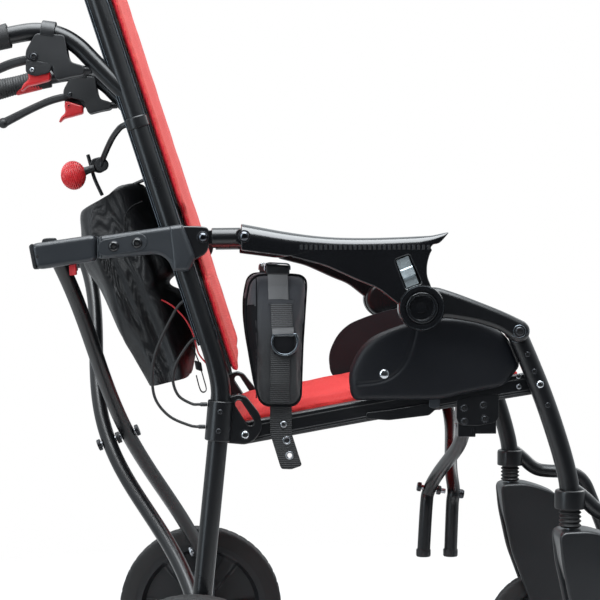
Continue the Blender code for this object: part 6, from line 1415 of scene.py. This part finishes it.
def hipPad(p):
    # a stuffed sleeve with piping, webbing down its face, a buckle, a D-ring and a tail with eyelets
    v = hipValues
    near, far = v["lane"]
    face = far - 0.0004

    def dents(x, z):
        seam = -0.0016 * np.exp(-((z - v["seamZ"]) / 0.0016) ** 2)
        edge = -0.0014 * np.exp(-((x - v["wrap"]) / 0.0014) ** 2)
        return seam + edge + creases(x, z, [(0.0003, 0.031, 1.2, 0.4), (0.00022, 0.019, 1.7, 2.0)])

    def swell(depth):
        return 1 - np.exp(-depth * 12) * 0.88

    lower = v["start"]
    panel = softPanel(v["outline"], (p.side * near, p.side * (far - lower)), swell, dents, 240, 60)
    p.add("neoprene", stuffed(panel, lambda points, out: v["start"] * (out[:, 1] * p.side > 0.25), 0.004))
    edge = resampled(roundedLoop(v["outline"], 0.01, 8), 220, True)
    p.bead("padBlack", inset(edge, 0.0004), near + 0.003, v["piping"])
    fold = resampled([(v["wrap"], 0.49), (v["wrap"] + 0.001, 0.56), (v["wrap"], 0.64)], 24)
    p.wire("padBlack", fold, far - 0.001, 0.0007)
    for finish, line, width, thick, over in v["straps"]:
        p.add(finish, strip(line, width, thick, p.side, face + np.array(over)))
    p.slab("grainedPlastic", v["buckle"], (near + 0.007, near + 0.016), 0.0032, 0.004, 6)
    p.wire("chrome", roundedRoute(v["rim"], 0.003, 5), near + 0.0125, 0.0011, 0.0006, 14)
    ring = np.vstack([v["ring"], arc(v["ringCentre"], v["ringRadius"], 32, -212, 36)])
    p.bead("edgeLine", resampled(roundedLoop(ring, 0.003, 5), 90, True), face + 0.0048, v["ringWire"])
    p.slab("blackWebbing", v["tail"], (near, near + 0.0018), 0.0006, 0.002, 2,
           holes=[arc(v["eyelet"], 0.003, 0, 345, 24)])
    for place in (v["eyelet"], v["rivet"]):
        p.hoop("zincSteel", v["eyeletRim"], place, near + 0.0017)
    p.screw(v["pivot"], near + 0.0018, 0.0046, 0.0022, "zincSteel")
    p.screw(v["rivet"], near + 0.0018, 0.0034, 0.001)
    piece = p.make("hipPad", "hip_pad_", ["hip_pad_"], sharp=60, level=False)
    wrapX = v["wrap"] - datumShift
    paintSides(piece, lambda centre, normal: (centre[:, 0] < wrapX) & (centre[:, 2] < v["seamZ"]),
               "padBlack", "neoprene")
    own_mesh(piece)


backPadValues = dict(
    span=(0.516, 1.098), halfWidth=0.215, back=0.0122, front=0.0268, seam=0.0158, crown=0.005,
    notch=(0.636, 0.716), notchY=0.1965, notchEase=0.012, pinned=0.194, lean=math.radians(18),
    wrinkles=[(0.0002, 0.061, 1.45, 0.5), (0.00015, 0.037, 1.7, 2.1), (0.00015, 0.09, 0.2, 1.0)],
    sideFace=(0.95, 0, 0.31), foldMiddle=-0.1807, foldKeep=0.446,  # sideFace is the direction that picks the cover's side faces
)


def backPad():
    # ring by ring up the back: a flat underlay and a stuffed cover, narrowed beside the runners
    v = backPadValues
    low, high = v["span"]
    height = np.linspace(low, high, 150)[:, None]
    fullness = 0.4 + 0.6 * (1 - np.abs(2 * (height - low) / (high - low) - 1) ** 44) ** 0.5
    start, end = v["notch"]
    ease = v["notchEase"]
    inNotch = np.clip(np.minimum(height - start + ease, end + ease - height) / ease, 0, 1)
    half = v["halfWidth"] - inNotch ** 2 * (3 - 2 * inNotch) * (v["halfWidth"] - v["notchY"])
    across, depth = squaredRing(0.16, 0.35)

    def layer(start, end, puff, tuck):
        # offset from the tube = middle + half thickness * depth - hollow + puff in front + wrinkles
        bulge = puff * (1 - across ** 8) * (0.35 + 0.65 * (fullness - 0.4) / 0.6)
        hollow = v["crown"] * (1 - across ** 2) * 0.9
        y = across * (half - tuck)
        offset = (start + end) / 2 + (end - start) / 2 * depth * fullness - hollow
        offset = offset + np.where(depth > 0, bulge, 0) + np.where(depth > 0.2,
                                                                   creases(y, height, v["wrinkles"]), 0)
        return ringShell(spaced(backTube(np.broadcast_to(height, y.shape), offset), y))

    forward = np.array([math.cos(v["lean"]), 0, math.sin(v["lean"])])

    def allowed(points, out):
        # free to swell forward, but for its side edges and its lower end
        return (0.006 * np.clip((v["pinned"] - np.abs(points[:, 1])) / 0.03, 0, 1)
                * np.clip((points[:, 2] - low - 0.006) / 0.016, 0, 1) * (out @ forward > 0.3))

    cover = Piece()
    cover.add("coralMesh", stuffed(layer(v["seam"], v["front"] - 0.0006, 0.0006, 0.0004), allowed, 0.005))
    for way in (-1, 1):
        line = backTube(height[2:-2, 0], (v["seam"] + v["front"]) / 2 - 0.0016)
        edge = spaced(line, way * (half[2:-2, 0] - 0.0002))
        cover.add("crimsonSide", tube(edge, 0.0009, 0.0003, 8))
    pad = cover.make("backCover", "rear_frame_right", ["back_pad"], sharp=70, level=False)
    backing = Piece()
    backing.add("underlay", layer(v["back"] + 0.0002, v["seam"] + 0.0004, 0.0, 0.0016))
    under = backing.make("backUnderlay", "rear_frame_right", sharp=70, level=False)
    for piece, fill in ((pad, 0.6), (under, 0.3)):
        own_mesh(piece)
    forwardFace = np.array(v["sideFace"])
    paintSides(pad, lambda centre, normal: (np.abs(normal[:, 1]) > 0.3) & (normal @ forwardFace < 0.02),
               "crimsonSide")


seatPadValues = dict(
    span=(0.034, 0.398), halfWidth=0.1822, thick=0.02, sag=0.008, plump=0.0085, pinned=0.178, free=0.15,
    wrinkles=[(0.0005, 0.055, 1.5, 0.2), (0.0004, 0.083, 0.9, 1.2)],
)


def railTop(x):
    return np.interp(x, *np.transpose(railValues["line"])) + railValues["half"]


def seatPad():
    # a flat cushion between the rails: height = rail top - sag + half thickness * depth, and plump above
    v = seatPadValues
    low, high = v["span"]
    x = np.linspace(low, high, 130)[:, None]
    across, depth = squaredRing(0.18, 0.4)
    fullness = (1 - np.abs(2 * (x - low) / (high - low) - 1) ** 50) ** 0.5
    y = across * (v["halfWidth"] - 0.0004) * np.ones_like(x)
    thick = v["thick"] / 2
    z = railTop(x) - thick - v["sag"] * (1 - across ** 2) + thick * depth * (0.35 + 0.65 * fullness)
    z = z + np.where(depth > 0.2, creases(y, x, v["wrinkles"]) - 0.0006, 0) + v["plump"] * (depth > 0)

    def allowed(points, out):
        inwards = (v["pinned"] - np.abs(points[:, 1])) / (v["pinned"] - v["free"])
        return 0.005 * np.clip(inwards, 0, 1) * (out[:, 2] > 0.3)

    p = Piece()
    grid = spaced(np.stack([np.broadcast_to(x, y.shape), z], axis=-1), y)
    p.add("seatMesh", stuffed(ringShell(grid), allowed, 0.005))
    piece = p.make("seatCover", "seat_rail_right", ["seat_pad"], sharp=70, level=False)
    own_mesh(piece)


bagValues = dict(
    halfWidth=0.132, halfDepth=0.045,
    rear=[(-0.15, 0.729), (-0.1745, 0.7235), (-0.175, 0.695), (-0.17, 0.656), (-0.15, 0.623),
          (-0.137, 0.595), (-0.122, 0.56), (-0.107, 0.539), (-0.093, 0.515), (-0.082, 0.496)],
    front=[(-0.113, 0.764), (-0.087, 0.764), (-0.072, 0.73), (-0.056, 0.7), (-0.041, 0.656),
           (-0.0565, 0.633), (-0.0385, 0.617), (-0.025, 0.575), (-0.019, 0.54), (-0.024, 0.51)],
    folds=[(0.0016, 0.12, 0.9, 0.4), (0.0007, 0.047, 0.6, 0.9)],
    streaks=[(0.0026, 0.046, 0.36, 0.3), (0.0018, 0.029, 0.3, 1.4), (0.0009, 0.018, 0.42, 2.2)],
    loop=[(-0.022, 0.55), (-0.014, 0.53), (-0.0075, 0.508), (-0.004, 0.4935), (-0.0085, 0.49),
          (-0.0125, 0.495), (-0.017, 0.512)], loopY=-0.124,
    loopProfile=[(-0.005, -0.0006), (0.005, -0.0006), (0.005, 0.0006), (-0.005, 0.0006)],
    clasp=[(-0.0195, 0.532), (-0.0105, 0.529), (-0.0085, 0.517), (-0.0175, 0.52)],
    claspLane=(-0.131, -0.122), strapSpan=(0.0775, 0.1025), strapHeights=(0.776, 0.779),
    panel=[(-0.109, 0.695), (-0.109, 0.72), (-0.101, 0.733), (-0.086, 0.739)],
    cord=[(-0.062, -0.129, 0.611), (-0.047, -0.139, 0.603), (-0.03, -0.153, 0.586),
          (-0.019, -0.17, 0.566), (-0.013, -0.186, 0.545), (-0.003, -0.202, 0.533)], cordRadius=0.0011,
)


def rearBag():
    # a lofted sack between its rear and front lines, creased by a sum of slanted waves
    v = bagValues
    rear, front = smoothRoute(v["rear"], 12), smoothRoute(v["front"], 12)
    across, depth = squaredRing(0.45, 0.55, 1600)
    size = [v["halfWidth"], v["halfDepth"]]
    across, depth = (resampled(np.column_stack([across, depth]) * size, 220, True) / size).T
    y = across * v["halfWidth"]
    reach = (front - rear) / 2
    flat = ((rear + front) / 2)[:, None] + reach[:, None] * depth[:, None]
    x, z = flat[..., 0], flat[..., 1]
    fold = creases(y + x * 0.8, z, v["folds"]) * (1 - np.abs(depth) ** 6 * 0.3)
    fold += (creases(x, z, v["streaks"]) * np.clip((0.735 - z) / 0.06, 0.25, 1)
             * np.clip((np.abs(y) - 0.05) / 0.05, 0, 1))
    out = np.stack(np.broadcast_arrays(reach[:, :1] * depth, y * 0.4, reach[:, 1:] * depth), axis=-1)
    p = Piece()
    p.add("bagNylon", ringShell(spaced(flat, y) + unit(out + 1e-9) * (fold - 0.0025)[..., None]))
    inner, outer = v["strapSpan"]
    pad = backPadValues
    back = pad["back"] - pad["crown"] * (1 - (inner / pad["halfWidth"]) ** 2) - 0.0003
    start = np.array(v["front"][0]) + [-0.004, -0.01]
    tab = [start, *(backTube(height, back) for height in v["strapHeights"]), start + [0, 0.003]]
    for side in (-1, 1):
        p.wire("underlay", roundedRoute(v["panel"], 0.01, 6), side * (v["halfWidth"] + 0.0002), 0.0009,
               0.0004)
        p.slab("greyWebbing", tab, (side * inner, side * outer), 0.0006, rounds=2)
    p.add("blackWebbing", sweep(inLane(smoothRoute(v["loop"], 8), v["loopY"]), v["loopProfile"]))
    p.slab("grainedPlastic", v["clasp"], v["claspLane"], 0.0012, 0.002)
    p.add("redCord", tube(smoothRoute(v["cord"], 8) - [datumShift, 0, 0], v["cordRadius"], 0.0003, 10))
    bag = p.make("bag", "rear_frame_right", ["rear_bag"], sharp=70, level=False)
    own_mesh(bag)


# recline lever and cables

leverValues = dict(
    stay=[(-0.096, -0.215, 0.833), (-0.108, -0.212, 0.829), (-0.12, -0.19, 0.818),
          (-0.13, -0.168, 0.802), (-0.136, -0.157, 0.79), (-0.137, -0.156, 0.78)], stayRadius=0.0038,
    ringSpan=(0.826, 0.84), ring=[(0.013, 0), (0.0142, 0.0008), (0.0145, 0.0018), (0.0145, 0.013),
                                   (0.0142, 0.014), (0.013, 0.0148)],
    nut=[(0.008, 0), (0.0086, 0.0006), (0.0086, 0.0106), (0.008, 0.0114), (0.004, 0.0116)],
    pivot=(-0.137, 0.785), centre=(-0.1734, 0.7714), radius=0.016, lane=-0.15, plate=(-0.148, -0.142),
    rod=[(-0.1555, 0.7985), (-0.1525, 0.788), (-0.147, 0.768), (-0.137, 0.746)], rodRadius=0.0024,
    clamp=[(-0.156, 0.779), (-0.15, 0.793), (-0.138, 0.796), (-0.129, 0.79), (-0.13, 0.78),
           (-0.14, 0.774)],
    neck=[(0.0058, 0), (0.005, 0.006), (0.0044, 0.016)], neckOff=0.0125, rib=0.0003, ribs=40,
    tilt=math.radians(20),
    stretch=1.18,
)


def leverStay():
    v = leverValues
    p = Piece()
    route = roundedRoute(np.array(v["stay"]) - [datumShift, 0, 0], 0.02, 8)
    p.add("satinBlack", tube(route, v["stayRadius"], 0.0008, 24, (0.3, 1, 0.2)))
    low, high = inLane(backTube(v["ringSpan"]), -sidePlane)
    p.add("satinBlack", turned(v["ring"], low, high - low, 40))
    p.spin("grainedPlastic", v["nut"], v["pivot"], v["plate"][0] - 0.0003, 30, way=-1)
    p.make("leverStay", "rear_frame_right", ["lever_stay"])


def reclineLever():
    # a clamp and a thin rod with a ribbed egg-shaped knob: radius + rib * cos of 40 times the polar angle
    v = leverValues
    p = Piece()
    p.slab("satinBlack", v["clamp"], v["plate"], 0.0014, 0.004)
    p.wire("satinBlack", smoothRoute(v["rod"], 8), sum(v["plate"]) / 2, v["rodRadius"], 0.0008, 18)
    polar = np.linspace(0.06, math.pi - 0.06, 240)[:, None]
    turn = np.linspace(0, fullTurn, 120, endpoint=False)[:, None]
    axis = np.array([math.cos(v["tilt"]), 0, math.sin(v["tilt"])])
    u, w = np.array([0, 1.0, 0]), np.cross(axis, [0, 1.0, 0])
    centre = inLane(v["centre"], v["lane"])[0]
    radius = v["radius"] + v["rib"] * np.cos(v["ribs"] * polar)
    stretch = [1.0, 1.0, v["stretch"]]
    ball = (radius * np.sin(polar))[:, None] * (np.cos(turn) * u + np.sin(turn) * w) * stretch
    p.add("redPlastic", ringShell(centre - (radius * np.cos(polar))[:, None] * axis + ball))
    p.add("grainedPlastic", turned(v["neck"], centre + axis * v["neckOff"], axis, 24))
    p.make("knobLever", "recline_lever", ["recline_lever"], level=False)


cableValues = dict(
    radius=0.0018, lane=-0.215, ferrule=[(0.0019, 0), (0.0026, 0.0006), (0.0026, 0.008), (0.002, 0.009)],
    recline=dict(heights=(0.616, 0.454),
                 middle=[(-0.04, 0.601), (-0.059, 0.564), (-0.068, 0.538), (-0.07, 0.512),
                         (-0.065, 0.487), (-0.048, 0.467), (-0.024, 0.456), (-0.012, 0.454)]),
    brake=dict(heights=(0.57, 0.482),
               middle=[(-0.025, 0.557), (-0.04, 0.533), (-0.044, 0.512), (-0.037, 0.493),
                       (-0.021, 0.483), (-0.012, 0.482)]),
)


def cables():
    # each leaves the back tube, hangs behind it and runs into the seat plate's sleeve
    v, plateValues = cableValues, seatPlateValues
    sleeve = np.array(plateValues["sleeve"])[::-1]
    for name in ("recline", "brake"):
        top, bottom = v[name]["heights"]
        start = backTube(top, -frameTube["radius"] - v["radius"] - 0.0003)
        x = np.interp(bottom, sleeve[:, 1], sleeve[:, 0]) - plateValues["sleeveRadius"] - 0.0003
        p = Piece()
        p.wire("rubber", smoothRoute(np.vstack([start, v[name]["middle"], (x, bottom)]), 8), v["lane"],
               v["radius"], 0.0004, 16)
        p.add("grainedPlastic", turned(v["ferrule"], inLane((x, bottom), v["lane"])[0], (-1, 0, 0), 20))
        p.make(name + "Cable", "rear_frame_right", [name + "_cable"], level=False)


for tag, side in sides.items():
    for build in (frameTubes, seatPlate, axleBlock, rearWheel, handle, grip, brakeLever, lockTrigger, runner,
                  outrigger, armTube, armRest, hubCap, latch, frontArm, seatRail, brace, frontLeg, casterPost,
                  casterFork, casterWheel, footPlate, sideGuard, hipPad):
        build(Piece(side, tag))
    print("side built:", tag)
for build in (crossTubes, leverStay, reclineLever, backPad, seatPad, rearBag, cables):
    build()
print("soft goods built")


# studio

studio = dict(
    floorColour=0.86, floorRadius=2.4, fade=(0.75, 1.55), overhead=1.5, horizon=0.62, nearSide=0.07,
    skyTint=(0.9, 0.96, 1.0),
    # each lamp: place, aim, size, power, tint, whether it lights only gloss
    lamps=dict(overhead=((-0.3, -0.5, 2.5), (0, 0, 0.6), (2.6, 1.6), 34, (1.0, 0.99, 0.98), False),
               frontLeft=((-1.9, -2.0, 1.7), (0, 0, 0.6), (0.9, 1.4), 12, (0.96, 0.98, 1.0), False),
               fabricFill=((-0.4, -2.6, 1.5), (0, 0, 0.65), (1.6, 1.2), 16, (1.0, 0.97, 0.95), False),
               overheadGlint=((0.0, -0.75, 2.3), (0, -0.35, 0.7), (2.0, 1.9), 100, (0.9, 0.96, 1.0), True),
               leftGlint=((-1.7, -1.35, 0.9), (0, -0.2, 0.75), (0.6, 1.8), 12, (0.78, 0.91, 1.0), True),
               rim=((1.8, 1.6, 1.8), (0, 0, 0.6), (1.2, 1.2), 14, (1, 1, 1), False)),
    cameraPlace=(-0.165, -2.175, 0.656), cameraAim=(-0.081, -0.215, 0.6125), lens=94,
)


def whiteSky():
    # white to the camera; for the light: bright overhead and behind, dim on the camera's side
    world = bpy.data.worlds.new("studio")
    bpy.context.scene.world = world
    world.use_nodes = True
    tree = world.node_tree
    height = node(tree, "SeparateXYZ", "Z", {"Vector": node(tree, "TexCoord", "Generated")})
    smooth = dict(interpolation_type="SMOOTHSTEP")
    up = spread(tree, height, studio["horizon"], studio["overhead"], -0.15, 0.85, **smooth)
    front = spread(tree, height.node.outputs["Y"], studio["nearSide"], 1.0, -0.9, 0.3, **smooth)
    light = node(tree, "Math", "Value", {0: up, 1: front}, operation="MULTIPLY")
    seen = node(tree, "LightPath", "Is Camera Ray")
    back = tree.nodes["Background"].inputs
    tree.links.new(node(tree, "Mix", "Result", {"Factor": seen, "A": light, "B": 1.0}), back["Strength"])
    tree.links.new(blended(tree, seen, studio["skyTint"], (1, 1, 1)), back["Color"])


def floorDisc():
    # a flat disc under the object that fades out to the white round it
    radius = np.concatenate([[0.02], np.linspace(0.1, studio["floorRadius"], 24)])[:, None]
    turn = np.linspace(0, fullTurn, 96, endpoint=False)
    grid = np.stack(np.broadcast_arrays(radius * np.cos(turn), radius * np.sin(turn), -0.0005), axis=-1)
    points, corners, counts = ringShell(grid)
    mesh = bpy.data.meshes.new("floor")
    fillMesh(mesh, points, corners[:-96], counts[:-1])
    floor = bpy.data.objects.new("floor", mesh)
    bpy.context.scene.collection.objects.link(floor)
    material = bpy.data.materials.new("paleFloor")
    material.use_nodes = True
    tree = material.node_tree
    shader = tree.nodes["Principled BSDF"]
    shader.inputs["Base Color"].default_value = (*(studio["floorColour"],) * 3, 1)
    shader.inputs["Roughness"].default_value = 0.9
    shader.inputs["Specular IOR Level"].default_value = 0.1
    far = node(tree, "VectorMath", "Value", {0: node(tree, "TexCoord", "Object")}, operation="LENGTH")
    faded = spread(tree, far, 0, 1, *studio["fade"], interpolation_type="SMOOTHSTEP")
    clear = node(tree, "BsdfTransparent", "BSDF")
    mixed = node(tree, "MixShader", "Shader", {"Fac": faded, 1: shader.outputs["BSDF"], 2: clear})
    tree.links.new(mixed, tree.nodes["Material Output"].inputs["Surface"])
    mesh.materials.append(material)


def aimed(name, data, place, aim):
    item = bpy.data.objects.new(name, data)
    item.location = place
    item.rotation_euler = (Vector(aim) - Vector(place)).to_track_quat("-Z", "Y").to_euler()
    bpy.context.scene.collection.objects.link(item)
    return item


whiteSky()
floorDisc()
for name, (place, aim, size, power, tint, onlyGloss) in studio["lamps"].items():
    data = bpy.data.lights.new(name, "AREA")
    data.shape = "RECTANGLE"
    data.size, data.size_y = size
    data.energy = power
    data.color = tint
    lamp = aimed(name, data, place, aim)
    lamp.visible_diffuse = not onlyGloss
    lamp.visible_glossy = name != "fabricFill"

camera = aimed("camera", bpy.data.cameras.new("camera"), studio["cameraPlace"], studio["cameraAim"])
camera.data.lens = studio["lens"]
camera.data.sensor_width = 36
bpy.context.scene.camera = camera
bpy.context.scene.view_settings.view_transform = "Standard"
